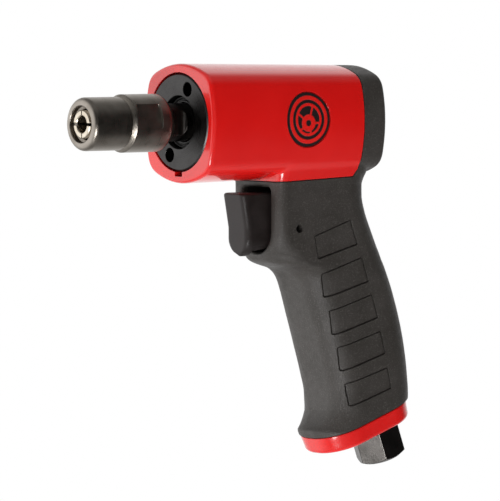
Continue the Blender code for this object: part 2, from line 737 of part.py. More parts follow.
def end_plates():
    outer = MOTOR_BORE - GAP
    front_face = CAP_DEPTH + 2 * GAP
    front = part("front_end_plate", turned((
        (front_face, 14.3), (14.4, 14.3), (14.4, 8.75), (18.9, 8.75), (18.9, outer),
        (front_face, outer))), "aluminium")
    cut(front, guide("cut_front_plate_dowel", dowel_hole(15.6, 20)))
    rear = part("rear_end_plate", turned((
        (55.7, 5.75), (58.2, 5.75), (58.2, 11.3), (66.0, 11.3), (66.0, outer),
        (55.7, outer))), "aluminium")
    cut(rear, guide("cut_rear_plate_dowel", dowel_hole(50, 60)))
    dowel = rod(15.9, 59.6, 1.0, 12)
    dowel.transform(Matrix.Translation((0, 0, 13.9)))
    part("cylinder_dowel", dowel, "bright_steel")


def wave_washer():
    """A thin ring bent into three waves, which loads the rear bearing."""
    bm = tube(-0.2, 0.2, 7.4, 10.7, 24)
    for vert in bm.verts:
        angle = 3 * Vector((vert.co.y, vert.co.z)).angle_signed(Vector((1, 0)), 0.0)
        vert.co.x += 66.45 + 0.18 * cos(angle)
    return part("wave_washer", bm, "bright_steel")


def rotor():
    """Rotor and spindle in one piece, with a slotted body and two flats in front."""
    core = ROTOR_START + 0.5
    shaft = part("rotor_shaft", turned((
        (-35.6, 0.0), (-35.6, 6.6), (-35.2, 6.9), (-9.0, 6.9), (-9.0, SPINDLE_RADIUS),
        (14.3, SPINDLE_RADIUS), (14.3, 8.4), (core, 8.4), (core, 4.0), (ROTOR_END - 1, 4.0),
        (ROTOR_END - 1, 5.4), (58.2, 5.4), (58.2, 3.7), (65.7, 3.7), (65.7, 0.0)),
        COARSE, ring=False), "black_oxide")
    join(shaft, guide("add_rotor_body", prism_x(rotor_outline(), ROTOR_START, ROTOR_END)))
    bore = turned(((-40, 0), (-40, 5.75), (-35.4, 5.75), (-21.6, 4.95), (-21.6, 3.6), (15.5, 3.6),
                   (17.0, 0)), COARSE, ring=False)
    cut(shaft, guide("cut_shank_bore", bore))
    cut(shaft, guide("cut_spindle_flat_near", block((-9.6, -12, -9), (-1.2, -SPINDLE_FLAT, 9))))
    cut(shaft, guide("cut_spindle_flat_far", block((-9.6, SPINDLE_FLAT, -9), (-1.2, 12, 9))))
    return shaft


def vanes():
    first = None
    for k in range(VANES):
        name = f"rotor_vane_{k + 1}"
        if first is None:
            vane = block((ROTOR_START + 0.9, 5.5, -0.8), (ROTOR_END - 0.1, 11.1, 0.8))
            first = part(name, vane, "vane_fibre")
            continue
        copy = bpy.data.objects.new(name, first.data)
        bpy.context.scene.collection.objects.link(copy)
        copy.parent = AXES
        copy.rotation_euler = (tau * k / VANES, 0, 0)


# ---------------------------------------------------------------- collet and nut

def collet():
    """A split sleeve with a taper at the back and four slots from the front."""
    body = part("collet", turned((
        (NOSE_X + 0.5, SHANK_RADIUS + 0.35), (NOSE_X + 0.5, COLLET_RADIUS - 0.35),
        (NOSE_X + 0.85, COLLET_RADIUS), (-41.2, COLLET_RADIUS), (-39.6, 6.2), (-36.2, 6.2),
        (-36.0, 5.35), (-22.0, 4.5), (-22.0, SHANK_RADIUS), (NOSE_X + 0.85, SHANK_RADIUS))),
        "bronze_steel")
    for k, width in enumerate((0.5, 1.1, 0.5, 1.1)):
        slot = block((-50, -width / 2, 0.5), (-26, width / 2, 9))
        slot.transform(Matrix.Rotation(tau * k / 4, 4, "X"))
        cut(body, guide(f"cut_collet_slot_{k + 1}", slot))
    return body


def collet_nut():
    """Stepped nose nut: a plain front, a collar, and a rear part with two spanner flats."""
    front = NOSE_X
    step = NUT_STEP_X
    rear = NUT_REAR_RADIUS
    rounding = [(front + 2.6 - 2.6 * cos(a), NUT_RADIUS - 2.6 + 2.6 * sin(a))
                for a in (0.0, pi / 6, pi / 3, pi / 2)]
    profile = [(front, NUT_MOUTH_RADIUS + 0.3)] + rounding + [
        (step, NUT_RADIUS), (step, NUT_RADIUS - 0.5), (step + 0.6, NUT_RADIUS - 0.5),
        (step + 1.4, rear - 0.25), (step + 1.7, rear), (-11.6, rear), (-10.6, rear - 0.3),
        (NUT_END_X - 0.3, 8.1), (NUT_END_X, 7.55), (-9.5, 7.55), (-9.5, 7.2), (-38.6, 7.2),
        (-40.4, 5.8), (-42.6, 5.8), (-43.2, NUT_MOUTH_RADIUS), (front + 0.3, NUT_MOUTH_RADIUS)]
    nut = part("collet_nut", turned(profile, FINE), "black_oxide")
    for side in (-1, 1):
        flat = rounded_slab(*NUT_FLAT_RANGE, 4.9, 1.2, 1.2, 3)
        near = NUT_FLAT if side > 0 else -14
        far = 14 if side > 0 else -NUT_FLAT
        tool = prism_y(flat, near, far)
        tool.transform(Matrix.Rotation(radians(NUT_TURN), 4, "X"))
        cut(nut, guide("cut_nut_flat_" + ("far" if side > 0 else "near"), tool))
    return nut


# ---------------------------------------------------------------- assembly

for old in list(bpy.data.objects):
    bpy.data.objects.remove(old, do_unlink=True)

AXES = bpy.data.objects.new("spindle_axes", None)
bpy.context.scene.collection.objects.link(AXES)
AXES.location = -Vector(GRIP_CENTRE) * MM

cutters = shared_guides()
badges(motor_housing(cutters))
grip_overmould(cutters)
base_cap()
base_gasket()
inlet_bushing()
inlet_screen()
inlet_o_ring()
exhaust_muffler()
trigger()
trigger_pin()
valve()
front_cap()
part("front_cap_o_ring", o_ring(4.3, CAP_RADIUS - 0.6, 0.5), "seal")
part("front_seal", tube(2.4, 4.8, SPINDLE_RADIUS + 0.4, CAP_OPENING - 0.4), "seal")
end_plates()
bearing("front_bearing", **FRONT_BEARING)
bearing("rear_bearing", **REAR_BEARING)
wave_washer()
liner()
rotor()
vanes()
collet()
collet_nut()
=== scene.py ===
"""Looks of the pistol-grip die grinder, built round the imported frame.

Sizes are in millimetres in the spindle's axes: X runs back from the barrel's front face, Y
points to the far side and Z up. ORIGIN, read from the frame, is where those axes start.
The studio is in metres.
"""

from math import atan2, cos, pi, radians, sin, sqrt, tan, tau

import bmesh
import bpy
from mathutils import Matrix, Vector


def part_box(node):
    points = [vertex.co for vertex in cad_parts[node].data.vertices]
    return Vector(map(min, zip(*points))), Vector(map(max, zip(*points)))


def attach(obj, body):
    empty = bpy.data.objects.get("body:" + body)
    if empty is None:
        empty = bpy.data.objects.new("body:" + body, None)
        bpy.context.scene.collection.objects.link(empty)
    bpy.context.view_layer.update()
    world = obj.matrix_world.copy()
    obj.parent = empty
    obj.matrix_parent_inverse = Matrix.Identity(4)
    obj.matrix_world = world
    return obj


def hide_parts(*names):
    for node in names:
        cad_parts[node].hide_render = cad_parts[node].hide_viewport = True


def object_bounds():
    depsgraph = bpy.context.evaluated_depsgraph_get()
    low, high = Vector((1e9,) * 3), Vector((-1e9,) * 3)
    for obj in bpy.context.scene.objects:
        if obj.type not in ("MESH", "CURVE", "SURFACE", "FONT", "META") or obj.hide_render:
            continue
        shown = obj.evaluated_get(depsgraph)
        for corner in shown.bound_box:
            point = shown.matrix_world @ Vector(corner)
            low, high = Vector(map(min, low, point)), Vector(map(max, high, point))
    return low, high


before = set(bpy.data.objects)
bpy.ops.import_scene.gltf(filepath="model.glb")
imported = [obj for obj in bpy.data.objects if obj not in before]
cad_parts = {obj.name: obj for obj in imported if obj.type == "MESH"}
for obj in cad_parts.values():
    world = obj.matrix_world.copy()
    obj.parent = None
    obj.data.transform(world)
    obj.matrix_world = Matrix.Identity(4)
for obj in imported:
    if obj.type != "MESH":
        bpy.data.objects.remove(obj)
CAD_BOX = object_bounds()

MM = 0.001
GAP = 0.3
CAP_LOW, CAP_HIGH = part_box("front_cap")
ORIGIN = Vector((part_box("motor_housing")[0].x, 0.0, (CAP_LOW.z + CAP_HIGH.z) / 2))


def placed(node, corner, axis):
    """One coordinate of a CAD node's box, in millimetres from the spindle's axes."""
    return (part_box(node)[corner][axis] - ORIGIN[axis]) / MM


NOSE_X = placed("collet_nut", 0, 0)
NUT_END_X = placed("collet_nut", 1, 0)
COLLET_X = placed("collet", 0, 0)
CAP_RADIUS = placed("front_cap", 1, 1)
TRIGGER_PIN_X = (placed("trigger_pin", 0, 0) + placed("trigger_pin", 1, 0)) / 2
VALVE_Z = (placed("trigger_pin", 0, 2) + placed("trigger_pin", 1, 2)) / 2

# Barrel, and the bore for the motor
BARREL_END = 84.8
HALF_WIDTH = 21.95
TOP = 22.2
BOTTOM = 23.2
CORNER_Y = 19.0
CORNER_TOP = 17.2
CORNER_BOTTOM = 18.0
TAPER = 0.0008  # how much narrower the barrel gets with each millimetre of its length
SKIN = 0.01  # how far its surface stays inside those sizes
SIDE_STEPS = 14
CORNER_STEPS = 9
FLANK_STEPS = 22
FRONT_ROUND = (1.9, 1.45)
REAR_ROUND = (2.4, 2.0)
CAP_DEPTH = 6.5
MOTOR_BORE = 16.5
MOTOR_BORE_END = 67.2
SPIGOT_END = 81.5
SPIGOT_INSET = 3.0
PARTING_X = 73.5
PARTING_LOW_X = 71.3
PARTING_BEND_Z = -18.3
NECK_FRONT = 36.7
NECK_CORNER = 4.0
NECK_PARTING_Z = -22.5
NECK_SEAM = (-22.9, -21.5)
CAP_SEAT_RADIUS = CAP_RADIUS + GAP
NOTCH_HALF = 2.3
NOTCH_DEPTH = 1.6
NOTCH_END = 3.6

# Handle: level outlines of its skin (z, front x, rear x, front radius)
RUBBER = 2.6
GRIP_HALF = 15.4
GRIP_STATIONS = (
    (-9.0, 36.7, 82.0, 4.0), (-14.2, 36.7, 83.2, 4.0),
    (-16.0, 36.7, 83.8, 4.0), (-18.0, 36.7, 84.1, 4.0),
    (-20.0, 36.7, 84.0, 4.0), (-22.0, 36.7, 83.2, 4.0),
    (-23.5, 36.7, 82.65, 4.0), (-25.0, 36.7, 82.3, 4.0),
    (-29.0, 36.7, 82.3, 4.0), (-35.0, 36.7, 83.6, 4.0),
    (-42.0, 36.7, 86.4, 4.5), (-46.5, 36.7, 88.4, 6.5),
    (-49.6, 36.7, 89.8, 9.5), (-51.1, 36.8, 90.6, 12.0),
    (-52.2, 37.2, 91.1, 12.5), (-53.4, 38.2, 91.6, 12.5),
    (-54.5, 40.0, 92.1, 12.5), (-55.4, 42.4, 92.6, 12.5),
    (-57.2, 48.3, 93.5, 12.0), (-60.4, 52.0, 94.9, 11.5),
    (-65.2, 54.6, 97.1, 10.5), (-71.0, 56.7, 99.1, 10.0),
    (-77.0, 58.8, 101.2, 9.5), (-88.0, 62.2, 103.8, 9.5),
    (-98.0, 65.2, 105.3, 9.5), (-107.0, 67.2, 106.0, 9.5),
    (-112.0, 67.0, 105.8, 10.5), (-116.0, 65.4, 105.4, 11.5),
    (-118.5, 63.5, 105.1, 12.8), (-120.4, 61.8, 104.8, 14.0),
    (-123.0, 62.7, 104.5, 14.3), (-130.0, 65.6, 103.2, 14.3),
)
GRIP_HALVES = (
    (-9.0, 18.3), (-14.2, 18.45), (-16.0, 17.83), (-18.0, 17.05), (-20.0, 16.36),
    (-22.0, 15.82), (-23.5, 15.55), (-25.0, 15.42), (-29.0, GRIP_HALF), (-130.0, GRIP_HALF),
)
GRIP_REAR_RADII = (
    (-9.0, 12.0), (-60.4, 12.0), (-65.2, 12.5), (-71.0, 12.5), (-77.0, 13.0), (-130.0, 13.0),
)

# Finger pads sunk into both sides of the handle, each with a groove round its edge: corners
# of the first, third and fifth
PADS = (
    ((53.0, -43.9), (70.9, -38.0), (74.5, -47.9), (55.0, -53.1)),
    ((61.5, -72.8), (81.5, -67.0), (84.6, -76.5), (63.6, -82.6)),
    ((69.5, -101.2), (89.3, -95.6), (91.2, -104.1), (71.4, -110.5)),
)
PAD_COUNT = 5
PAD_DEPTH = 0.4
GROOVE_DEPTH = 0.9
GROOVE_WIDTH = 0.55

# Foot
FOOT_CENTRE = Vector((83.65, 0.0, -115.3))
FOOT_TILT = radians(19.8)
FOOT_ALONG = Vector((cos(FOOT_TILT), 0.0, sin(FOOT_TILT)))
FOOT_DOWN = Vector((sin(FOOT_TILT), 0.0, -cos(FOOT_TILT)))
FOOT_HALF_LENGTH = 22.35
FOOT_HALF_WIDTH = 15.3
FOOT_FRONT_RADIUS = 14.3
FOOT_REAR_RADIUS = 13.0
BASE_THICKNESS = 7.2
INLET_OFFSET = 8.3
INLET_HOLE = 8.3
PASSAGE_RADIUS = 4.4
VALVE_BORE = 7.0
VALVE_BORE_END = 81.4
INLET_HEX = 17.5
INLET_TURN = radians(3.7)
INLET_END = 20.7

# Trigger and pocket
POCKET_HALF = 8.75
POCKET_TOP = -25.2
POCKET_BOTTOM = -50.5
POCKET_BACK = 55.0
POCKET_RIM = 1.5
PIN_HOLE_RADIUS = 1.6
TRIGGER_HALF = 6.9
TRIGGER_FRONT = 25.2
TRIGGER_BACK = 44.0
TIP_BACK = 31.5
TRIGGER_TRAVEL = 4.5
TRIGGER_TOP = -27.4
TRIGGER_BOTTOM = -51.6
HEEL_Z = -47.4
HEEL_BOTTOM = -49.8

# Badge, spindle and nut
BADGE_PLACE = (46.1, 0.7)
BADGE_RADIUS = 10.35
SPINDLE_RADIUS = 7.2
NUT_RADIUS = 10.05
NUT_REAR_RADIUS = 10.95
NUT_STEP_X = -28.6
NUT_FLAT = 9.8
NUT_FLAT_RANGE = (-25.9, -15.0)
NUT_TURN = radians(-16.0)


# -------- outlines

def monotone(xs, ys):
    """A smooth curve through points, which never swings past them."""
    steps = [b - a for a, b in zip(xs, xs[1:])]
    slopes = [(q - p) / h for p, q, h in zip(ys, ys[1:], steps)]
    tangents = [slopes[0]]
    for before, after, h0, h1 in zip(slopes, slopes[1:], steps, steps[1:]):
        if before * after <= 0:
            tangents.append(0.0)
            continue
        w0 = 2 * h1 + h0
        w1 = h1 + 2 * h0
        tangents.append((w0 + w1) / (w0 / before + w1 / after))
    tangents.append(slopes[-1])

    def at(x):
        k = 0
        while k < len(steps) - 1 and x > xs[k + 1]:
            k += 1
        t = (x - xs[k]) / steps[k]
        return ((1 + 2 * t) * (1 - t) ** 2 * ys[k] + t * (1 - t) ** 2 * steps[k] * tangents[k]
                + t * t * (3 - 2 * t) * ys[k + 1] + t * t * (t - 1) * steps[k] * tangents[k + 1])
    return at


def soft_max(a, b, reach):
    """The larger of two lengths, with a hollow curve where they cross."""
    return max(a, b) + max(reach - abs(a - b), 0.0) ** 2 / (4 * reach)


def quarter_turn(steps):
    """Angles from zero to a right angle."""
    return [pi / 2 * k / steps for k in range(steps + 1)]


def scale_at(x):
    return 1.0 - TAPER * x


def barrel_quarter(x, inset, top):
    """A quarter of the barrel's section, from the widest point round to the middle."""
    scale = scale_at(x)
    half = HALF_WIDTH * scale - inset
    corner_y = CORNER_Y * scale - 0.75 * inset
    height = (TOP if top else BOTTOM) * scale - inset
    corner_z = (CORNER_TOP if top else CORNER_BOTTOM) * scale - 0.75 * inset
    side_bulge = half - corner_y
    cap_bulge = height - corner_z
    reach = 0.8
    shares = [reach * i / SIDE_STEPS for i in range(SIDE_STEPS + 1)]
    side = [(half - side_bulge * t * t, corner_z * t) for t in shares]
    cap = [(corner_y * t, height - cap_bulge * t * t) for t in shares]
    start = Vector(side[-1])
    end = Vector(cap[-1])
    leave = Vector((-2 * side_bulge * reach, corner_z))
    arrive = Vector((corner_y, -2 * cap_bulge * reach))
    across = leave.x * arrive.y - leave.y * arrive.x
    gap = end - start
    knee = start + leave * ((gap.x * arrive.y - gap.y * arrive.x) / across)
    corner = []
    for i in range(1, CORNER_STEPS):
        t = i / CORNER_STEPS
        corner.append(tuple(start.lerp(knee, t).lerp(knee.lerp(end, t), t)))
    return side + corner + cap[::-1]


def mirrored(upper, lower):
    """A closed outline from its two right-hand quarters, starting at the widest point."""
    left_upper = [(-y, z) for y, z in reversed(upper[:-1])]
    left_lower = [(-y, -z) for y, z in lower[1:]]
    right_lower = [(y, -z) for y, z in reversed(lower[1:-1])]
    return upper + left_upper + left_lower + right_lower


def barrel_outline(x, inset=0.0):
    inset += SKIN
    return mirrored(barrel_quarter(x, inset, True), barrel_quarter(x, inset, False))


def height_reader(quarter):
    """A function for the half width of a quarter at a height above or below the axis."""
    def at(depth):
        for (y0, z0), (y1, z1) in zip(quarter, quarter[1:]):
            if z0 <= depth <= z1:
                t = (depth - z0) / (z1 - z0) if z1 > z0 else 0.0
                return y0 + (y1 - y0) * t
        return 0.0
    return at


def level_curve(table, column=1):
    """A smooth curve over height through one column of a table that runs downwards."""
    rows = table[::-1]
    return monotone([row[0] for row in rows], [row[column] for row in rows])


GRIP_HALF_AT = level_curve(GRIP_HALVES)
GRIP_CURVES = [GRIP_HALF_AT] + [level_curve(GRIP_STATIONS, column) for column in (1, 2, 3)]
GRIP_CURVES.append(level_curve(GRIP_REAR_RADII))


def flare(x, z):
    """How the handle's width follows the barrel's taper where the two meet."""
    hold = min(max((z + 24.0) / 9.0, 0.0), 1.0)
    return 1.0 + hold * (scale_at(x) / scale_at(45.0) - 1.0)


def cast_outline(x):
    """The casting's section at a station: the barrel with the neck of the handle under it."""
    upper = barrel_quarter(x, SKIN, True)
    lower = barrel_quarter(x, SKIN, False)
    if x < NECK_FRONT:
        return mirrored(upper, lower)
    read = height_reader(lower)
    side = lower[:SIDE_STEPS + 1]
    start = side[-1][1]
    back = max(NECK_FRONT + NECK_CORNER - x, 0.0)
    pull = NECK_CORNER - sqrt(max(NECK_CORNER ** 2 - back ** 2, 0.0))
    depth_end = -NECK_PARTING_Z + 1.0
    flank = []
    for i in range(1, FLANK_STEPS + 1):
        depth = start + (depth_end - start) * i / FLANK_STEPS
        neck = GRIP_HALF_AT(-depth) * flare(x, -depth) - pull
        flank.append((soft_max(read(depth), neck, 1.3 * min(i / 4, 1.0)), depth))
    rest = len(lower) - len(side) - len(flank)
    width = flank[-1][0]
    floor = [(width * (1 - k / rest), depth_end) for k in range(1, rest + 1)]
    return mirrored(upper, side + flank + floor)


def rounded_slab(low, high, half, low_radius, high_radius, steps=12):
    """A flat-sided outline from low to high, with its own corner radius at each end."""
    low_radius = min(low_radius, half)
    high_radius = min(high_radius, half)
    corners = (
        (low + low_radius, -half + low_radius, low_radius, 180),
        (high - high_radius, -half + high_radius, high_radius, 270),
        (high - high_radius, half - high_radius, high_radius, 0),
        (low + low_radius, half - low_radius, low_radius, 90),
    )
    points = []
    for u, v, radius, start in corners:
        for i in range(steps + 1):
            angle = radians(start + 90 * i / steps)
            points.append((u + radius * cos(angle), v + radius * sin(angle)))
    return points


def corner_ways(corners):
    """Each corner of a polygon, the ways to its neighbours and half the angle between them."""
    for i, corner in enumerate(corners):
        here = Vector(corner)
        before = (Vector(corners[i - 1]) - here).normalized()
        after = (Vector(corners[(i + 1) % len(corners)]) - here).normalized()
        yield here, before, after, before.angle(after) / 2


def drawn_in(corners, width):
    """Corners of a polygon moved inwards, so that each side moves by the width."""
    return [tuple(here + (before + after).normalized() * (width / sin(half_angle)))
            for here, before, after, half_angle in corner_ways(corners)]


def rounded_polygon(corners, radius, steps=5):
    """A polygon with an arc at every corner."""
    points = []
    for here, before, after, half_angle in corner_ways(corners):
        cut = radius / tan(half_angle)
        centre = here + (before + after).normalized() * (radius / sin(half_angle))
        start = here + before * cut - centre
        end = here + after * cut - centre
        for k in range(steps + 1):
            spoke = start.lerp(end, k / steps).normalized()
            points.append(tuple(centre + spoke * radius))
    return points


def level_heights():
    """Heights of the handle's sections, closer together where its outline turns."""
    heights = []
    z = -9.0
    while z > -130.0:
        heights.append(z)
        if -26 < z < -13 or -61 < z < -49 or -126 < z < -116:
            z -= 0.5
        else:
            z -= 2.0
    return heights + [-130.0]


def grip_rings(inset, flared=True):
    rings = []
    for z in level_heights():
        half, front, rear, front_radius, rear_radius = (curve(z) for curve in GRIP_CURVES)
        outline = rounded_slab(front + inset, rear - inset, half - inset,
                               max(front_radius - inset, 1.0), rear_radius - inset)
        if flared:
            outline = [(u, v * flare(u, z)) for u, v in outline]
        rings.append([(u, v, z) for u, v in outline])
    return rings


# -------- meshes

def solid(rings):
    """A closed solid through outlines with the same number of points."""
    bm = bmesh.new()
    loops = [[bm.verts.new(p) for p in ring] for ring in rings]
    count = len(loops[0])
    for low, high in zip(loops, loops[1:]):
        for i in range(count):
            j = (i + 1) % count
            bm.faces.new((low[i], low[j], high[j], high[i]))
    bm.faces.new(loops[0])
    bm.faces.new(loops[-1])
    return settled(bm)


def settled(bm):
    bmesh.ops.remove_doubles(bm, verts=bm.verts, dist=1e-4)
    bmesh.ops.dissolve_degenerate(bm, edges=bm.edges, dist=1e-5)
    bmesh.ops.recalc_face_normals(bm, faces=bm.faces)
    return bm


def loft_x(sections):
    """A solid through outlines that lie across the X axis, given as (x, outline)."""
    return solid([[(x, y, z) for y, z in outline] for x, outline in sections])


def prism_x(outline, start, end):
    return loft_x([(start, outline), (end, outline)])


def prism_y(outline, start, end):
    return solid([[(x, y, z) for x, z in outline] for y in (start, end)])


def prism_z(outline, start, end):
    return solid([[(x, y, z) for x, y in outline] for z in (start, end)])


def turned(profile, segments=96):
    """Turns (x, radius) points about the X axis. A profile that starts off the axis is a ring's."""
    bm = bmesh.new()
    verts = [bm.verts.new((x, 0.0, radius)) for x, radius in profile]
    edges = [bm.edges.new(pair) for pair in zip(verts, verts[1:])]
    if profile[0][1] > 0:
        edges.append(bm.edges.new((verts[-1], verts[0])))
    bmesh.ops.spin(bm, geom=verts + edges, cent=(0, 0, 0), axis=(1, 0, 0), angle=tau,
                   steps=segments, use_merge=True)
    return settled(bm)


def rod(start, end, radius, segments=48):
    return turned(((start, 0.0), (start, radius), (end, radius), (end, 0.0)), segments)


def softened(profile, radius, steps=3):
    """A profile with its corners rounded, each by its own radius or by one for all."""
    points = []
    count = len(profile)
    for i, here in enumerate(profile):
        size = radius[i] if isinstance(radius, (list, tuple)) else radius
        if size <= 0:
            points.append(tuple(here))
            continue
        here = Vector(here)
        before = Vector(profile[i - 1]) - here
        after = Vector(profile[(i + 1) % count]) - here
        cut = min(size, 0.45 * before.length, 0.45 * after.length)
        start = here + before.normalized() * cut
        end = here + after.normalized() * cut
        for k in range(steps + 1):
            t = k / steps
            points.append(tuple(start.lerp(here, t).lerp(here.lerp(end, t), t)))
    return points


def aimed(bm, place, direction):
    """Turns a solid made along the X axis to a direction and moves it to its place."""
    turn = Vector((1, 0, 0)).rotation_difference(Vector(direction).normalized())
    bm.transform(Matrix.Translation(place) @ turn.to_matrix().to_4x4())
    return bm


def at_foot(along, across, down):
    """A place given along, across and down from the middle of the handle's lower face."""
    return FOOT_CENTRE + FOOT_ALONG * along + Vector((0, across, 0)) + FOOT_DOWN * down


def foot_solid(layers):
    return solid([[at_foot(p, q, depth) for p, q in outline] for depth, outline in layers])


def foot_outline(inset):
    return rounded_slab(-FOOT_HALF_LENGTH + inset, FOOT_HALF_LENGTH - inset,
                        FOOT_HALF_WIDTH - inset, FOOT_FRONT_RADIUS - inset,
                        FOOT_REAR_RADIUS - inset, 20)


def at_inlet(bm):
    return aimed(bm, at_foot(INLET_OFFSET, 0, 0), FOOT_DOWN)


def mesh_of(name, bm):
    mesh = bpy.data.meshes.new(name)
    bm.to_mesh(mesh)
    bm.free()
    return mesh


def together(parts):
    """Several solids in one mesh."""
    whole = bmesh.new()
    for bm in parts:
        mesh = mesh_of("part", bm)
        whole.from_mesh(mesh)
        bpy.data.meshes.remove(mesh)
    return whole


def shown(name, data):
    """A new object in the scene for a mesh, a light or a camera."""
    made = bpy.data.objects.new(name, data)
    bpy.context.scene.collection.objects.link(made)
    return made


def make(name, bm):
    """An object of a solid, moved from the spindle's millimetres to its place in metres."""
    bm.transform(Matrix.Translation(ORIGIN) @ Matrix.Scale(MM, 4))
    return shown(name, mesh_of(name, bm))


def carve(target, *steps):
    """Takes solids or objects away from an object. A pair gives another operation and a solid."""
    tools = []
    for number, step in enumerate(steps):
        operation, shape = step if isinstance(step, tuple) else ("DIFFERENCE", step)
        ready = isinstance(shape, bpy.types.Object)
        tool = shape if ready else make(f"tool_{number}", shape)
        tools.append(tool)
        modifier = target.modifiers.new(f"step_{number}", "BOOLEAN")
        modifier.operation = operation
        modifier.solver = "EXACT"
        modifier.object = tool
    bake(target)
    for tool in tools:
        mesh = tool.data
        bpy.data.objects.remove(tool)
        bpy.data.meshes.remove(mesh)
    return target


def bake(target):
    """Swaps an object's mesh for the one that its modifiers make."""
    graph = bpy.context.evaluated_depsgraph_get()
    mesh = bpy.data.meshes.new_from_object(target.evaluated_get(graph))
    old = target.data
    target.modifiers.clear()
    target.data = mesh
    mesh.name = target.name
    bpy.data.meshes.remove(old)


def dress(target, look, body, nodes=(), angle=34.0):
    """Gives a piece its look, its body and the CAD nodes that it stands for.

    Its faces are smooth, its edges sharp over the angle, and its normals led by large faces.
    """
    target.data.shade_smooth()
    target.data.set_sharp_from_angle(angle=radians(angle))
    weighted = target.modifiers.new("weighted", "WEIGHTED_NORMAL")
    weighted.keep_sharp = True
    weighted.weight = 80
    target.data.materials.clear()
    target.data.materials.append(look)
    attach(target, body)
    if nodes:
        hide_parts(*nodes)
    return target


# -------- materials

def new_node(tree, kind, inputs=(), **settings):
    """Adds a node. Each of its inputs takes a value or another node's output."""
    made = tree.nodes.new(kind)
    for key, value in settings.items():
        setattr(made, key, value)
    for key, value in dict(inputs).items():
        if isinstance(value, bpy.types.NodeSocket):
            tree.links.new(value, made.inputs[key])
        else:
            made.inputs[key].default_value = value
    return made


class Look:
    """A material with short ways to add and join nodes."""

    def __init__(self, name, **values):
        self.made = bpy.data.materials.new(name)
        self.made.use_nodes = True
        self.tree = self.made.node_tree
        self.shader = self.tree.nodes["Principled BSDF"]
        for key, value in values.items():
            socket = self.shader.inputs[key.replace("_", " ")]
            socket.default_value = (*value, 1.0) if isinstance(value, tuple) else value
        self.place = self.node("ShaderNodeTexCoord").outputs["Object"]

    def node(self, kind, inputs=(), **settings):
        return new_node(self.tree, kind, inputs, **settings)

    def maths(self, operation, a, b=0.0, clamp=False):
        return self.node("ShaderNodeMath", {0: a, 1: b}, operation=operation,
                         use_clamp=clamp).outputs[0]

    def moved(self, location=(0, 0, 0), scale=(1, 1, 1)):
        return self.node("ShaderNodeMapping", {"Vector": self.place, "Location": location,
                                               "Scale": scale}).outputs[0]

    def noise(self, scale, detail=3.0, rough=0.5, vector=None):
        return self.node("ShaderNodeTexNoise", {
            "Vector": self.place if vector is None else vector, "Scale": scale,
            "Detail": detail, "Roughness": rough}).outputs["Fac"]

    def spread(self, value, low=0.0, high=1.0, start=0.35, end=0.65):
        """A number that goes from low to high as value goes from start to end."""
        return self.node("ShaderNodeMapRange", {"Value": value, "From Min": start,
                                                "From Max": end, "To Min": low,
                                                "To Max": high}).outputs[0]

    def mix(self, value, a, b):
        """A colour that goes from a to b as value goes from 0 to 1."""
        a, b = [(*colour, 1.0) if isinstance(colour, tuple) else colour for colour in (a, b)]
        return self.node("ShaderNodeMix", {0: value, 6: a, 7: b}, data_type="RGBA").outputs[2]

    def bump(self, height, strength, distance, normal=None):
        inputs = {"Height": height, "Strength": strength, "Distance": distance}
        if normal is not None:
            inputs["Normal"] = normal
        return self.node("ShaderNodeBump", inputs).outputs[0]

    def soft_edges(self, radius):
        """Shading that rounds edges by a radius in metres."""
        return self.node("ShaderNodeBevel", {"Radius": radius}, samples=6).outputs[0]

    def set(self, **links):
        for key, value in links.items():
            self.tree.links.new(value, self.shader.inputs[key.replace("_", " ")])
        return self.made


def red_paint():
    look = Look("red_paint", Metallic=0.0, Coat_Weight=0.8, Coat_Roughness=0.05, Coat_IOR=1.5,
                IOR=1.48)
    tone = look.spread(look.noise(55, 3))
    colour = look.mix(tone, (0.535, 0.0042, 0.0034), (0.565, 0.0054, 0.0043))
    peel = look.noise(620, 2)
    normal = look.bump(peel, 0.03, 0.00015, look.soft_edges(0.0005))
    return look.set(Base_Color=colour, Roughness=look.spread(look.noise(210, 4), 0.22, 0.27),
                    Normal=normal)


def rubber():
    look = Look("rubber", Metallic=0.0, IOR=1.46)
    grain = look.noise(2300, 2, 0.6)
    cloud = look.noise(60, 4, 0.6)
    base = look.mix(look.spread(cloud), (0.026, 0.023, 0.020), (0.036, 0.032, 0.029))
    speck = look.spread(grain, 0, 1, 0.56, 0.70)
    colour = look.mix(speck, base, (0.070, 0.064, 0.060))
    normal = look.bump(grain, 0.45, 0.0003, look.soft_edges(0.0003))
    return look.set(Base_Color=colour, Roughness=look.spread(look.noise(400, 3), 0.42, 0.54),
                    Normal=normal)


def black_plastic():
    look = Look("black_plastic", Metallic=0.0, IOR=1.36)
    cloud = look.noise(140, 4, 0.55)
    colour = look.mix(look.spread(cloud), (0.011, 0.0085, 0.0080), (0.017, 0.0135, 0.0130))
    normal = look.bump(look.noise(2100, 2), 0.12, 0.0002, look.soft_edges(0.0005))
    return look.set(Base_Color=colour, Roughness=look.spread(cloud, 0.34, 0.46), Normal=normal)


def casting_painted_shade():
    # Near black all over: painted shade for the bottom of the trigger's pocket.
    look = Look("casting_painted_shade", Metallic=0.0)
    grain = look.noise(900, 4, 0.6)
    colour = look.mix(look.spread(grain), (0.010, 0.009, 0.009), (0.022, 0.020, 0.019))
    return look.set(Base_Color=colour, Roughness=look.spread(grain, 0.6, 0.8),
                    Normal=look.bump(grain, 0.4, 0.0004))


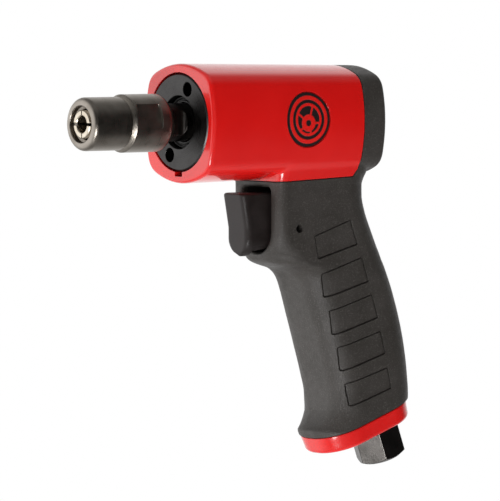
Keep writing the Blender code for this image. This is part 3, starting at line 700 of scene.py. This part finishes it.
def lathe_look(name, dark, light, rough, lines=0.25, faced=0.0):
    """Turned metal: fine lines round the spindle's axis, or rings on a faced piece's front."""
    look = Look(name, Metallic=1.0, Anisotropic=faced)
    if faced:
        centred = look.moved((0, 0, -ORIGIN.z), (0, 1, 1))
        radius = look.node("ShaderNodeVectorMath", {0: centred}, operation="LENGTH").outputs[1]
        grain = look.node("ShaderNodeTexNoise", {"W": radius, "Scale": 5200.0, "Detail": 2.0},
                          noise_dimensions="1D").outputs["Fac"]
        tangent = look.node("ShaderNodeTangent", direction_type="RADIAL", axis="X").outputs[0]
        look.set(Tangent=tangent)
    else:
        grain = look.noise(1.0, 3, 0.6, look.moved(scale=(4200, 55, 55)))
    cloud = look.noise(170, 4, 0.6)
    colour = look.mix(look.spread(cloud), dark, light)
    normal = look.bump(grain, lines, 0.00004, look.soft_edges(0.0003))
    worn = look.maths("ADD", look.spread(grain, -0.05, 0.05), look.spread(cloud, *rough))
    return look.set(Base_Color=colour, Roughness=worn, Normal=normal)


def fine_metal(name, dark, light, rough, size=900, strength=0.12):
    """Plain metal with a fine grain."""
    look = Look(name, Metallic=1.0)
    grain = look.noise(size, 4, 0.6)
    cloud = look.noise(130, 3)
    colour = look.mix(look.spread(cloud), dark, light)
    normal = look.bump(grain, strength, 0.0001, look.soft_edges(0.0003))
    return look.set(Base_Color=colour, Roughness=look.spread(grain, *rough), Normal=normal)


def matt(name, dark, light, rough, size, strength, depth=0.0003):
    """Rubber or felt with a coarse grain."""
    look = Look(name, Metallic=0.0)
    grain = look.noise(size, 5, 0.65)
    colour = look.mix(look.spread(grain), dark, light)
    return look.set(Base_Color=colour, Roughness=look.spread(grain, *rough),
                    Normal=look.bump(grain, strength, depth))


def laminated():
    look = Look("vane_fibre", Metallic=0.0)
    layers = look.noise(1.0, 2, 0.5, look.moved(scale=(60, 60, 5200)))
    weave = look.noise(1500, 3)
    colour = look.mix(look.spread(layers), (0.17, 0.11, 0.055), (0.29, 0.20, 0.11))
    return look.set(Base_Color=colour, Roughness=look.spread(weave, 0.45, 0.65),
                    Normal=look.bump(weave, 0.2, 0.0001))


def badge_look():
    """Black ring, red ring, and a black disc with a vane rotor's end view in red."""
    x, z = BADGE_PLACE
    look = Look("badge", Metallic=0.0, Coat_Weight=0.6, Coat_Roughness=0.05, Coat_IOR=1.5)
    centre = (x * MM + ORIGIN.x, 0.0, z * MM + ORIGIN.z)
    here = look.node("ShaderNodeVectorMath", {0: look.place, 1: centre},
                     operation="SUBTRACT").outputs[0]
    split = look.node("ShaderNodeSeparateXYZ", {0: here})
    across = look.maths("MULTIPLY", split.outputs[0], 1 / MM)
    up = look.maths("MULTIPLY", split.outputs[2], 1 / MM)

    def length(a, b):
        squares = [look.maths("MULTIPLY", side, side) for side in (a, b)]
        return look.maths("SQRT", look.maths("ADD", *squares))

    def edge(value, limit, blur=0.12):
        """1 where the value is under the limit, 0 above it."""
        return look.node("ShaderNodeMapRange", {"Value": value, "From Min": limit + blur,
                                                "From Max": limit - blur}).outputs[0]

    def band(low, high):
        return look.maths("SUBTRACT", edge(radius, high), edge(radius, low))

    # The rotor: a hub off the middle of a thin ring, with five blades reaching out to it
    radius = length(across, up)
    low = look.maths("ADD", up, 1.3)
    turn = look.maths("ARCTAN2", low, across)
    reach = length(across, low)
    wave = look.maths("ABSOLUTE", look.maths("SINE", look.maths("MULTIPLY", turn, 2.5)))
    offset = look.maths("MULTIPLY", wave, look.maths("MULTIPLY", reach, 0.4))
    blade = look.maths("MULTIPLY", edge(offset, 0.42), edge(radius, 5.9))
    hub = edge(reach, 3.3)
    bore = edge(reach, 1.2)
    rotor = look.maths("SUBTRACT", look.maths("MAXIMUM", blade, hub), bore, clamp=True)
    red = look.maths("MAXIMUM", rotor, band(5.2, 6.3))
    red = look.maths("MAXIMUM", red, band(7.6, 9.15), clamp=True)
    colour = look.mix(red, (0.012, 0.008, 0.008), (0.56, 0.009, 0.007))
    normal = look.bump(red, 0.8, 0.00025)
    peel = look.bump(look.noise(620, 2), 0.03, 0.00015, normal)
    return look.set(Base_Color=colour, Roughness=look.spread(red, 0.34, 0.22, 0, 1), Normal=peel)


LOOKS = {
    "red_paint": red_paint(),
    "rubber": rubber(),
    "black_plastic": black_plastic(),
    # Painted shade: the near-black look for the inside of the trigger's pocket
    "casting_painted_shade": casting_painted_shade(),
    "nut": lathe_look("burnished_nut", (0.28, 0.25, 0.215), (0.38, 0.345, 0.305),
                      (0.30, 0.38), 0.08),
    "spindle": lathe_look("burnished_spindle", (0.085, 0.078, 0.075), (0.13, 0.12, 0.11),
                          (0.26, 0.36), 0.08),
    "cap": lathe_look("turned_face", (0.048, 0.046, 0.046), (0.065, 0.063, 0.062),
                      (0.26, 0.34), 0.12, 0.75),
    "collet": lathe_look("ground_collet", (0.58, 0.50, 0.40), (0.74, 0.67, 0.56), (0.24, 0.34)),
    "bright_steel": fine_metal("bright_steel", (0.50, 0.48, 0.45), (0.62, 0.60, 0.57),
                               (0.22, 0.34)),
    "inlet": fine_metal("plated_inlet", (0.085, 0.080, 0.075), (0.13, 0.122, 0.115), (0.28, 0.42),
                        1400, 0.3),
    "aluminium": fine_metal("aluminium", (0.56, 0.56, 0.57), (0.68, 0.68, 0.69), (0.30, 0.45)),
    "brass": fine_metal("brass", (0.60, 0.41, 0.14), (0.74, 0.53, 0.22), (0.24, 0.38)),
    "seal": matt("seal", (0.010, 0.010, 0.010), (0.022, 0.021, 0.020), (0.5, 0.7), 700, 0.2),
    "felt": matt("felt", (0.20, 0.19, 0.17), (0.46, 0.45, 0.41), (0.9, 1.0), 1500, 0.9, 0.0006),
    "vane_fibre": laminated(),
    "badge": badge_look(),
}


# -------- casting

def casting():
    """The painted barrel with its rounded front edge, hollow for the motor."""
    length, depth = FRONT_ROUND
    sections = []
    for a in quarter_turn(8):
        x = length * (1 - cos(a))
        sections.append((x, barrel_outline(x, depth * (1 - sin(a)))))
    stations = [6, 12, 18, 24, 30, NECK_FRONT - 0.001]
    stations += [NECK_FRONT + NECK_CORNER * (1 - cos(radians(5 + 85 * k / 10)))
                 for k in range(11)]
    stations += [44, 48, 52, 56, 60, 64, 68, PARTING_X - 0.25]
    sections += [(x, cast_outline(x)) for x in stations]
    sections.append((PARTING_X, [(y * 0.992, z * 0.992) for y, z in cast_outline(PARTING_X)]))
    spigot = barrel_outline(PARTING_X, SPIGOT_INSET + GAP)
    sections += [(PARTING_X, spigot), (SPIGOT_END - GAP, spigot)]
    body = make("barrel_casting", loft_x(sections))
    front = NECK_FRONT - 0.5
    limits = ((-5, 30), (90, 30), (90, PARTING_BEND_Z), (PARTING_X, PARTING_BEND_Z),
              (PARTING_LOW_X, NECK_SEAM[1]), (front, NECK_SEAM[0]), (front, -30), (-5, -30))
    seat_end = CAP_DEPTH + GAP
    seat = turned(((-2, 0), (-2, CAP_SEAT_RADIUS), (seat_end, CAP_SEAT_RADIUS),
                   (seat_end, MOTOR_BORE), (MOTOR_BORE_END, MOTOR_BORE), (MOTOR_BORE_END, 0)),
                  128)
    x, z = BADGE_PLACE
    pockets = [aimed(rod(10, 30, BADGE_RADIUS + GAP, 96), (x, 0, z), (0, side, 0))
               for side in (-1, 1)]
    floor = loft_x([(s, barrel_outline(s, 0.8)) for s in (20, 70)])
    recess = carve(make("recess", together(pockets)), floor)
    carve(body, ("INTERSECT", prism_y(limits, -30, 30)), seat, locking_notch(), recess)
    return dress(body, LOOKS["red_paint"], "body", ["motor_housing"])


def locking_notch():
    """The notch at the bottom of the cap's seat."""
    outline = [(y, z) for z, y in rounded_slab(-CAP_SEAT_RADIUS - NOTCH_DEPTH,
                                               -CAP_SEAT_RADIUS + 1, NOTCH_HALF, 0.5, 0.1, 4)]
    return prism_x(outline, -1, NOTCH_END)


def across_handle(bm):
    """Lays a solid along the trigger pin's axis."""
    return aimed(bm, (TRIGGER_PIN_X, 0, VALVE_Z), (0, 1, 0))


def pin_hole(segments):
    return across_handle(rod(-20, 20, PIN_HOLE_RADIUS, segments))


def handle_core():
    """The casting inside the handle, which shows only at the bottom of the trigger's pocket,
    coloured near black as painted shade.
    """
    core = make("handle_core", solid([ring for ring in grip_rings(RUBBER + GAP, False)
                                      if ring[0][2] < NECK_PARTING_Z - GAP]))
    valve = aimed(rod(POCKET_BACK - 3, VALVE_BORE_END, VALVE_BORE), (0, 0, VALVE_Z), (1, 0, 0))
    start = at_foot(INLET_OFFSET, 0, 0)
    passage = Vector((76.0, 0, VALVE_Z)) - start
    socket = at_inlet(rod(-13.6, 2, INLET_HOLE))
    chamber = [(61.5, -59), (72.5, -59)]
    chamber += [at_foot(along, 0, down).xz
                for along, down in ((-1.9, -16), (-1.9, 4), (-14.2, 4), (-8.6, -13))]
    carve(core, below_foot(-1.4), pocket(False), valve, pin_hole(24),
          aimed(rod(0, passage.length, PASSAGE_RADIUS, 24), start, passage), socket,
          prism_y(chamber, -8.9, 8.9))
    return dress(core, LOOKS["casting_painted_shade"], "body")


def below_foot(depth):
    """A block that takes away what lies past a depth below the handle's lower face."""
    outline = ((-40, -30), (40, -30), (40, 30), (-40, 30))
    return foot_solid([(depth, outline), (depth + 40, outline)])


def pocket_outline(grow):
    """The trigger pocket from the front: round cornered at the top, half round below."""
    half = POCKET_HALF + grow
    top = POCKET_TOP + grow
    centre = POCKET_BOTTOM + POCKET_HALF
    radius = 2.2 + grow
    arc = [(-half * cos(pi * i / 28), centre - half * sin(pi * i / 28)) for i in range(29)]
    right = [(half - radius + radius * cos(a), top - radius + radius * sin(a))
             for a in (pi / 12 * k for k in range(7))]
    left = [(-y, z) for y, z in reversed(right)]
    return right + left + arc


def pocket(flared=True):
    """The pocket, whose mouth opens out in a rounded rim where it is flared."""
    start = 30.0
    rings = [(start, 0.0)]
    if flared:
        rings = [(start, POCKET_RIM * 1.8), (NECK_FRONT - 0.6, POCKET_RIM * 1.8)]
        for i in range(8):
            a = pi / 2 * (0.06 + 0.94 * i / 7)
            rings.append((NECK_FRONT + POCKET_RIM * (1 - cos(a)), POCKET_RIM * (1 - sin(a))))
    rings.append((POCKET_BACK, 0.0))
    return loft_x([(x, pocket_outline(grow)) for x, grow in rings])


# -------- handle's rubber

def pad_corners(number):
    """Corners of one of the pads, on a smooth line through the three given."""
    t = 2 * number / (PAD_COUNT - 1)
    weights = ((t - 1) * (t - 2) / 2, t * (2 - t), t * (t - 1) / 2)
    return [tuple(sum(w * pad[k][axis] for w, pad in zip(weights, PADS)) for axis in (0, 1))
            for k in range(4)]


def pad_tools(width, radius):
    """Prisms through both sides of the handle, one to a pad."""
    tools = []
    for number in range(PAD_COUNT):
        outline = rounded_polygon(drawn_in(pad_corners(number), width), radius)
        tools.append(prism_y(outline, -18, -6))
        tools.append(prism_y(outline, 6, 18))
    return together(tools)


def grip():
    """The rubber moulding: the rear cap and the skin of the handle."""
    sections = [(x, barrel_outline(x))
                for x in (PARTING_X - 12, PARTING_X + GAP, 76, 79, SPIGOT_END)]
    length, depth = REAR_ROUND
    for a in quarter_turn(8)[1:]:
        x = BARREL_END - length + length * sin(a)
        sections.append((x, barrel_outline(x, depth * (1 - cos(a)))))
    body = make("grip_rubber", loft_x(sections))
    limits = ((-5, 30), (PARTING_X + GAP, 30), (PARTING_X + GAP, PARTING_BEND_Z - 0.1),
              (PARTING_LOW_X + GAP, NECK_SEAM[1] - GAP), (NECK_FRONT, NECK_SEAM[0] - GAP),
              (-5, NECK_SEAM[0] - GAP))
    spigot = prism_x(barrel_outline(PARTING_X, SPIGOT_INSET), PARTING_X - 2, SPIGOT_END)
    floors = carve(make("floors", pad_tools(0.0, 0.8)), solid(grip_rings(PAD_DEPTH)))
    grooves = carve(make("grooves", pad_tools(0.0, 0.8)), pad_tools(GROOVE_WIDTH, 0.4),
                    solid(grip_rings(GROOVE_DEPTH)))
    core = [ring for ring in grip_rings(RUBBER, False) if ring[0][2] < PARTING_BEND_Z]
    carve(body, ("UNION", solid(grip_rings(0.0))), prism_y(limits, -30, 30), spigot,
          solid(core), below_foot(0.0), pocket(), pin_hole(40), floors, grooves)
    return dress(body, LOOKS["rubber"], "body", ["grip_overmould"], 40)


# -------- foot

def base_ring():
    """The red cap under the foot, with a hole for the inlet and three exhaust slots."""
    layers = [(0.35, 0.45), (0.5, 0.25), (0.75, 0.2), (2.5, 0.35), (4.3, 0.55)]
    layers += [(BASE_THICKNESS - 2.2 + 2.2 * sin(a), 0.55 + 1.9 * (1 - cos(a)))
               for a in quarter_turn(7)[1:]]
    cap = make("base_ring", foot_solid([(depth, foot_outline(inset)) for depth, inset in layers]))
    cuts = [at_inlet(rod(-2, 12, INLET_HOLE, 96))]
    for k in range(3):
        u = -14.5 + 4.2 * k
        slot = rounded_slab(u - 1.1, u + 1.1, 4.6 + 1.2 * k, 1.1, 1.1, 6)
        cuts.append(foot_solid([(-2, slot), (10, slot)]))
    carve(cap, *cuts)
    return dress(cap, LOOKS["red_paint"], "body", ["base_cap"])


def hexagon(radius):
    corners = [(radius * cos(tau * i / 6 + INLET_TURN) + INLET_OFFSET,
                radius * sin(tau * i / 6 + INLET_TURN)) for i in range(6)]
    return rounded_polygon(corners, 0.55, 4)


def inlet():
    """The threaded hexagon for the air hose, with its shank up inside the foot."""
    start = BASE_THICKNESS + GAP
    corner = INLET_HEX / sqrt(3)
    across = INLET_HEX / 2
    outline = hexagon(corner)
    body = make("inlet_fitting", foot_solid([(start, outline), (INLET_END, outline)]))
    profile = [(start - 1, 0), (start - 1, across + 0.3), (start + 0.8, corner + 0.2),
               (INLET_END - 1.5, corner + 0.2), (INLET_END - 0.25, across - 0.5),
               (INLET_END, across - 0.9), (INLET_END, 0)]
    shank = at_inlet(turned(((-13.0, 0), (-13.0, 7.3), (-11.6, 8.0), (start + 2, 8.0),
                             (start + 2, 0))))
    bore = [(-20, 0), (-20, PASSAGE_RADIUS), (-1.0, PASSAGE_RADIUS), (-1.0, 5.7)]
    pitch = 1.41
    turns = int((INLET_END - 2.2) / pitch)
    for k in range(turns):
        depth = 0.2 + k * pitch
        bore += [(depth, 5.75), (depth + 0.5 * pitch, 6.45)]
    bore += [(INLET_END - 1.9, 5.75), (INLET_END - 1.2, 5.9), (INLET_END + 1, 7.6),
             (INLET_END + 1, 0)]
    groove = at_inlet(turned(((-8.6, 6.75), (-6.6, 6.75), (-6.6, 9.5), (-8.6, 9.5))))
    carve(body, ("INTERSECT", at_inlet(turned(profile))), ("UNION", shank),
          at_inlet(turned(bore)), groove)
    return dress(body, LOOKS["inlet"], "body", ["inlet_bushing"], 24)


# -------- trigger

def trigger_front(z):
    """The finger face, which leans back and curls at the tip."""
    depth = (TRIGGER_TOP - z) / (TRIGGER_TOP - TRIGGER_BOTTOM)
    return (TRIGGER_FRONT + 2.4 * min(depth / 0.55, 1.0)
            + 0.9 * max((depth - 0.72) / 0.28, 0.0) ** 2)


def trigger():
    """The finger piece in level slices: rounded at the top, half round at the bottom."""
    centre = TRIGGER_BOTTOM + TRIGGER_HALF
    slices = [(TRIGGER_TOP - 1.1 * (1 - cos(a)), 1 - sin(a)) for a in quarter_turn(6)]
    z = TRIGGER_TOP - 2.2
    while z > centre:
        slices.append((z, 0.0))
        z -= 1.2
    slices += [(centre - TRIGGER_HALF * sin(pi / 2 * k / 14.3), 0.0) for k in range(15)]
    rings = []
    for z, inset in slices:
        drop = min(z - centre, 0.0)
        half = sqrt(TRIGGER_HALF ** 2 - drop ** 2) - 0.8 * inset
        back = TRIGGER_BACK if z > HEEL_Z else TIP_BACK
        edge = min(2.6, half * 0.85)
        front = trigger_front(z) + inset + 0.7 * max(-drop / TRIGGER_HALF - 0.75, 0.0) / 0.25
        rings.append([(u, v, z) for u, v in rounded_slab(front, back, half, edge, 0.6, 8)])
    body = make("trigger_lever", solid(rings))
    tail = prism_x(((-3.6, -46.2), (3.6, -46.2), (3.6, -35.4), (-3.6, -35.4)), 38, 49.6)
    r = PIN_HOLE_RADIUS
    slot = rounded_slab(TRIGGER_PIN_X - TRIGGER_TRAVEL - r, TRIGGER_PIN_X + r, r, r, r, 8)
    slot = [(x, y + VALVE_Z) for x, y in slot]
    heel = []
    for a in quarter_turn(8):
        z = HEEL_Z + 0.4 - (HEEL_Z - HEEL_BOTTOM) * sin(a)
        half = sqrt((TRIGGER_HALF + 0.4) ** 2 - (z - centre) ** 2) - 1.6
        heel.append([(u, v, z) for u, v in rounded_slab(28, 31.3 + 9.5 * cos(a), half, 1, 0.8, 4)])
    carve(body, ("UNION", tail), ("UNION", solid(heel)), prism_y(slot, -12, 12))
    return dress(body, LOOKS["black_plastic"], "trigger", ["trigger"], 40)


def pin():
    """The pin that the trigger slides on."""
    profile = softened(((-12.2, 0), (-12.2, 1.25), (12.2, 1.25), (12.2, 0)), [0, 0.3, 0.3, 0], 4)
    body = make("roll_pin", across_handle(turned(profile, 40)))
    return dress(body, LOOKS["spindle"], "body", ["trigger_pin"])


# -------- nose

def cap_disc():
    """The round cap in the barrel's front face, with two holes for a pin spanner."""
    r = CAP_RADIUS
    profile = softened([(0.0, 10.1), (0.0, r - 0.75), (0.75, r), (3.4, r), (3.4, r - 1.4),
                        (5.2, r - 1.4), (5.2, r), (CAP_DEPTH, r), (CAP_DEPTH, 10.1)],
                       [0.35, 0.12, 0.12, 0.1, 0.1, 0.1, 0.1, 0.1, 0.1], 3)
    cap = make("cap_disc", turned(profile, 128))
    holes = []
    for sign in (1, -1):
        hole = turned(((-1, 0), (-1, 3.75), (0.0, 2.85), (0.15, 2.7), (5.6, 2.7), (6.1, 0)), 48)
        hole.transform(Matrix.Translation((0, sign * -5.6, sign * 12.5)))
        holes.append(hole)
    carve(cap, *holes)
    return dress(cap, LOOKS["cap"], "body", ["front_cap"], 30)


def seal():
    """The lip seal round the spindle, in the cap's bore."""
    profile = softened([(2.4, 7.6), (2.4, 8.2), (3.2, 8.4), (3.2, 9.0), (2.4, 9.2), (2.4, 9.7),
                        (4.8, 9.7), (4.8, 7.6)], 0.12, 2)
    return dress(make("lip_seal", turned(profile)), LOOKS["seal"], "body", ["front_seal"])


def rotor_outline():
    """The rotor's section: five slots for the vanes and the round lands between them."""
    points = []
    edge = atan2(1.1, 11.35)
    for k in range(5):
        middle = k * tau / 5
        for along, across in ((5.2, -1.1), (5.2, 1.1)):
            points.append((along * cos(middle) - across * sin(middle),
                           along * sin(middle) + across * cos(middle)))
        for i in range(13):
            angle = middle + edge + (tau / 5 - 2 * edge) * i / 12
            points.append((11.4 * cos(angle), 11.4 * sin(angle)))
    return points


def spindle():
    """The hollow spindle with two flats for a spanner, and the rotor on its rear half."""
    r = SPINDLE_RADIUS
    profile = [(-35.6, 0.0), (-35.6, 6.6), (-35.2, 6.9), (-9.6, 6.9), (-9.0, r), (14.3, r),
               (14.3, 8.4), (20.0, 8.4), (20.0, 4.0), (54.1, 4.0), (54.1, 5.4), (58.2, 5.4),
               (58.2, 3.7), (65.4, 3.7), (65.7, 3.4), (65.7, 0.0)]
    shaft = make("spindle_and_rotor", turned(profile))
    bore = turned(((-40, 0), (-40, 5.75), (-35.4, 5.75), (-21.6, 4.95), (-21.6, 3.6), (15.5, 3.6),
                   (17.0, 0)), 64)
    outline = rounded_slab(-9.6, -1.2, 9.0, 0.2, 1.6, 6)
    flats = [prism_z([(x, y + 14.5 * side) for x, y in outline], -9, 9) for side in (-1, 1)]
    carve(shaft, ("UNION", prism_x(rotor_outline(), 19.5, 55.1)), bore, *flats)
    return dress(shaft, LOOKS["spindle"], "rotor", ["rotor_shaft"], 30)


def collet():
    """The split sleeve that holds the burr's shank, with wide and narrow slots in turn."""
    front = COLLET_X
    profile = [(front, 3.5), (front, 4.95), (front + 0.35, 5.3), (-41.2, 5.3), (-39.6, 6.2),
               (-36.2, 6.2), (-36.0, 5.35), (-22.0, 4.5), (-22.0, 3.175), (front + 0.35, 3.175)]
    body = make("split_collet", turned(profile))
    slots = []
    for k, width in enumerate((0.5, 1.1, 0.5, 1.1)):
        slot = prism_x([(-width / 2, 0.5), (width / 2, 0.5), (width / 2, 9), (-width / 2, 9)],
                       -50, -26)
        slot.transform(Matrix.Rotation(tau * k / 4, 4, "X"))
        slots.append(slot)
    carve(body, *slots)
    return dress(body, LOOKS["collet"], "collet", ["collet"], 30)


def nut():
    """The collet's nut: a rounded nose, a step up to its rear part and two flats on that."""
    front = NOSE_X
    step = NUT_STEP_X
    r = NUT_RADIUS
    rear = NUT_REAR_RADIUS
    nose = [(front + 2.2 - 2.2 * cos(a), r - 2.2 + 2.2 * sin(a)) for a in quarter_turn(8)]
    profile = [(front + 0.25, 6.95), (front, 7.2)] + nose + [
        (step - 0.25, r), (step, r - 0.2), (step + 0.1, r - 0.45), (step + 0.5, r - 0.45),
        (step + 0.6, r - 0.3), (step + 1.45, rear - 0.2), (step + 1.75, rear), (-11.6, rear),
        (-10.9, rear - 0.12), (-10.4, rear - 0.4), (NUT_END_X - 0.5, 8.25), (NUT_END_X, 7.75),
        (NUT_END_X, 7.55), (-9.5, 7.55), (-9.5, 7.2), (-38.6, 7.2), (-40.4, 5.8), (-42.6, 5.8),
        (-43.2, 6.9)]
    body = make("nose_nut", turned(profile, 128))
    flats = []
    for low, high in ((NUT_FLAT, 14), (-14, -NUT_FLAT)):
        tool = prism_y(rounded_slab(*NUT_FLAT_RANGE, 4.9, 1.3, 1.3, 6), low, high)
        tool.transform(Matrix.Rotation(NUT_TURN, 4, "X"))
        flats.append(tool)
    carve(body, *flats)
    return dress(body, LOOKS["nut"], "nut", ["collet_nut"], 26)


# -------- badges

def badge(name, side):
    """A thin disc that follows the barrel's side, with a rounded rim."""
    x, z = BADGE_PLACE
    read = {}

    def skin(px, pz, inset):
        key = (round(px, 3), pz >= 0)
        if key not in read:
            read[key] = height_reader(barrel_quarter(px, 0.0, pz >= 0))
        return read[key](abs(pz)) - inset

    def point(radius, inset, angle):
        px = x + radius * cos(angle)
        pz = z + radius * sin(angle)
        return bm.verts.new((px, side * skin(px, pz, inset), pz))

    bm = bmesh.new()
    circles = [(0.0, 0.25), (2.5, 0.25), (5.0, 0.25), (7.4, 0.25), (9.2, 0.25),
               (BADGE_RADIUS - 0.25, 0.25), (BADGE_RADIUS - 0.05, 0.32), (BADGE_RADIUS, 0.45),
               (BADGE_RADIUS, 0.75)]
    steps = 72
    loops = [[point(*circle, tau * i / steps) for i in range(steps)] for circle in circles]
    for low, high in zip(loops, loops[1:]):
        for i in range(steps):
            j = (i + 1) % steps
            bm.faces.new((low[i], high[i], high[j], low[j]))
    bm.faces.new(loops[-1])
    disc = make(name + "_disc", settled(bm))
    return dress(disc, LOOKS["badge"], "body", [name], 50)


# -------- assembly

casting()
handle_core()
grip()
base_ring()
inlet()
trigger()
pin()
cap_disc()
seal()
spindle()
collet()
nut()
badge("badge_near", -1)
badge("badge_far", 1)

# Inner parts keep the CAD's shape and take a finer material
INNER = {
    "brass": ("inlet_screen", "valve_bush", "front_bearing_ball_cage", "rear_bearing_ball_cage"),
    "seal": ("base_gasket", "inlet_o_ring", "valve_bush_o_ring", "valve_seal",
             "front_cap_o_ring"),
    "felt": ("exhaust_muffler",),
    "bright_steel": ("valve_stem", "valve_spring", "cylinder_dowel", "cylinder_liner",
                     "wave_washer", "front_bearing_outer_race", "front_bearing_inner_race",
                     "rear_bearing_outer_race", "rear_bearing_inner_race"),
    "aluminium": ("front_end_plate", "rear_end_plate"),
    "vane_fibre": tuple(f"rotor_vane_{k}" for k in range(1, 6)),
}
for look, names in INNER.items():
    for name in names:
        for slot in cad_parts[name].material_slots:
            slot.material = LOOKS[look]


# -------- studio

MIDDLE = (CAD_BOX[0] + CAD_BOX[1]) / 2
AZIMUTH = radians(-37.3)
BEHIND = Vector((-sin(AZIMUTH), cos(AZIMUTH), 0.0))
LEFT = Vector((-cos(AZIMUTH), -sin(AZIMUTH), 0.0))
LOW_LAMP = Vector((-0.70, -0.50, -0.50)).normalized()

# What the gloss mirrors: a direction, the cosines where its glow starts and is full, its level
GLOWS = (
    (BEHIND, 0.4, 1.0, 0.9),
    (LEFT, 0.45, 0.95, 1.3),
    ((0, 0, 1), 0.5, 0.95, 0.2),
    ((0, 0, -1), 0.5, 0.9, 0.3),
    (LOW_LAMP, 0.978, 0.991, 16.0),
)
GLOW_EVERYWHERE = 0.035

CAMERA_ELEVATION = radians(3.0)
CAMERA_DISTANCE = 2.0
CAMERA_SENSOR = 36.0
CAMERA_LENS = 381.6
AIM_RIGHT = 0.027019
AIM_BELOW = 0.048377


def stage_floor():
    """A wide bright disc below the tool, which casts no shadow and which no gloss mirrors."""
    bm = bmesh.new()
    bmesh.ops.create_circle(bm, cap_ends=True, cap_tris=True, radius=1.2, segments=48,
                            matrix=Matrix.Translation((0, 0, CAD_BOX[0].z - 0.16)))
    floor = shown("studio_floor", mesh_of("studio_floor", bm))
    look = Look("floor", Metallic=0.0, Emission_Color=(1, 1, 1), Emission_Strength=0.55)
    tone = look.spread(look.noise(3, 2))
    look.set(Base_Color=look.mix(tone, (0.90, 0.90, 0.90), (0.93, 0.93, 0.93)),
             Roughness=look.spread(tone, 0.8, 0.9))
    floor.data.materials.append(look.made)
    floor.visible_glossy = False
    floor.visible_shadow = False


def softbox(name, place, size, power):
    """A soft area light aimed at the middle of the tool, which the gloss doesn't mirror."""
    data = bpy.data.lights.new(name, "AREA")
    data.shape = "RECTANGLE"
    data.size, data.size_y = size
    data.energy = power
    lamp = shown(name, data)
    lamp.location = MIDDLE + Vector(place)
    lamp.rotation_euler = (-Vector(place)).to_track_quat("-Z", "Y").to_euler()
    lamp.visible_glossy = False


def surroundings():
    """A room seen only by the gloss and as soft light; the camera itself sees plain white."""
    world = bpy.data.worlds.new("studio")
    bpy.context.scene.world = world
    world.use_nodes = True
    tree = world.node_tree
    background = tree.nodes["Background"]
    direction = new_node(tree, "ShaderNodeTexCoord").outputs["Generated"]
    level = GLOW_EVERYWHERE
    for way, start, end, glow in GLOWS:
        towards = new_node(tree, "ShaderNodeVectorMath", {0: direction, 1: way},
                           operation="DOT_PRODUCT").outputs["Value"]
        ramp = new_node(tree, "ShaderNodeMapRange",
                        {"Value": towards, "From Min": start, "From Max": end, "To Min": 0.0,
                         "To Max": glow}, interpolation_type="SMOOTHSTEP").outputs[0]
        level = new_node(tree, "ShaderNodeMath", {0: ramp, 1: level}, operation="ADD").outputs[0]
    seen = new_node(tree, "ShaderNodeLightPath").outputs["Is Camera Ray"]
    strength = new_node(tree, "ShaderNodeMix", {0: seen, 2: level, 3: 1.0}).outputs[0]
    tree.links.new(strength, background.inputs["Strength"])
    background.inputs["Color"].default_value = (1, 1, 1, 1)


def camera():
    """A long lens, aimed to the right of the middle of the barrel's front face and below it."""
    back = -BEHIND * cos(CAMERA_ELEVATION) + Vector((0, 0, sin(CAMERA_ELEVATION)))
    right = -LEFT
    up = back.cross(right)
    data = bpy.data.cameras.new("camera")
    data.sensor_fit = "HORIZONTAL"
    data.sensor_width = CAMERA_SENSOR
    data.lens = CAMERA_LENS
    data.clip_start = 0.1
    data.clip_end = 100.0
    made = shown("camera", data)
    place = ORIGIN + right * AIM_RIGHT - up * AIM_BELOW + back * CAMERA_DISTANCE
    turn = Matrix((right, up, back)).transposed()
    made.matrix_world = Matrix.Translation(place) @ turn.to_4x4()
    bpy.context.scene.camera = made


stage_floor()
softbox("overhead", (0, 0, 0.8), (1.0, 0.8), 5)
softbox("near_fill", -BEHIND * 0.9 - LEFT * 0.35, (0.9, 0.9), 3.8)
softbox("left_fill", LEFT * 0.9 - BEHIND * 0.2, (0.7, 0.7), 2.0)
surroundings()
camera()
bpy.context.scene.view_settings.view_transform = "Standard"
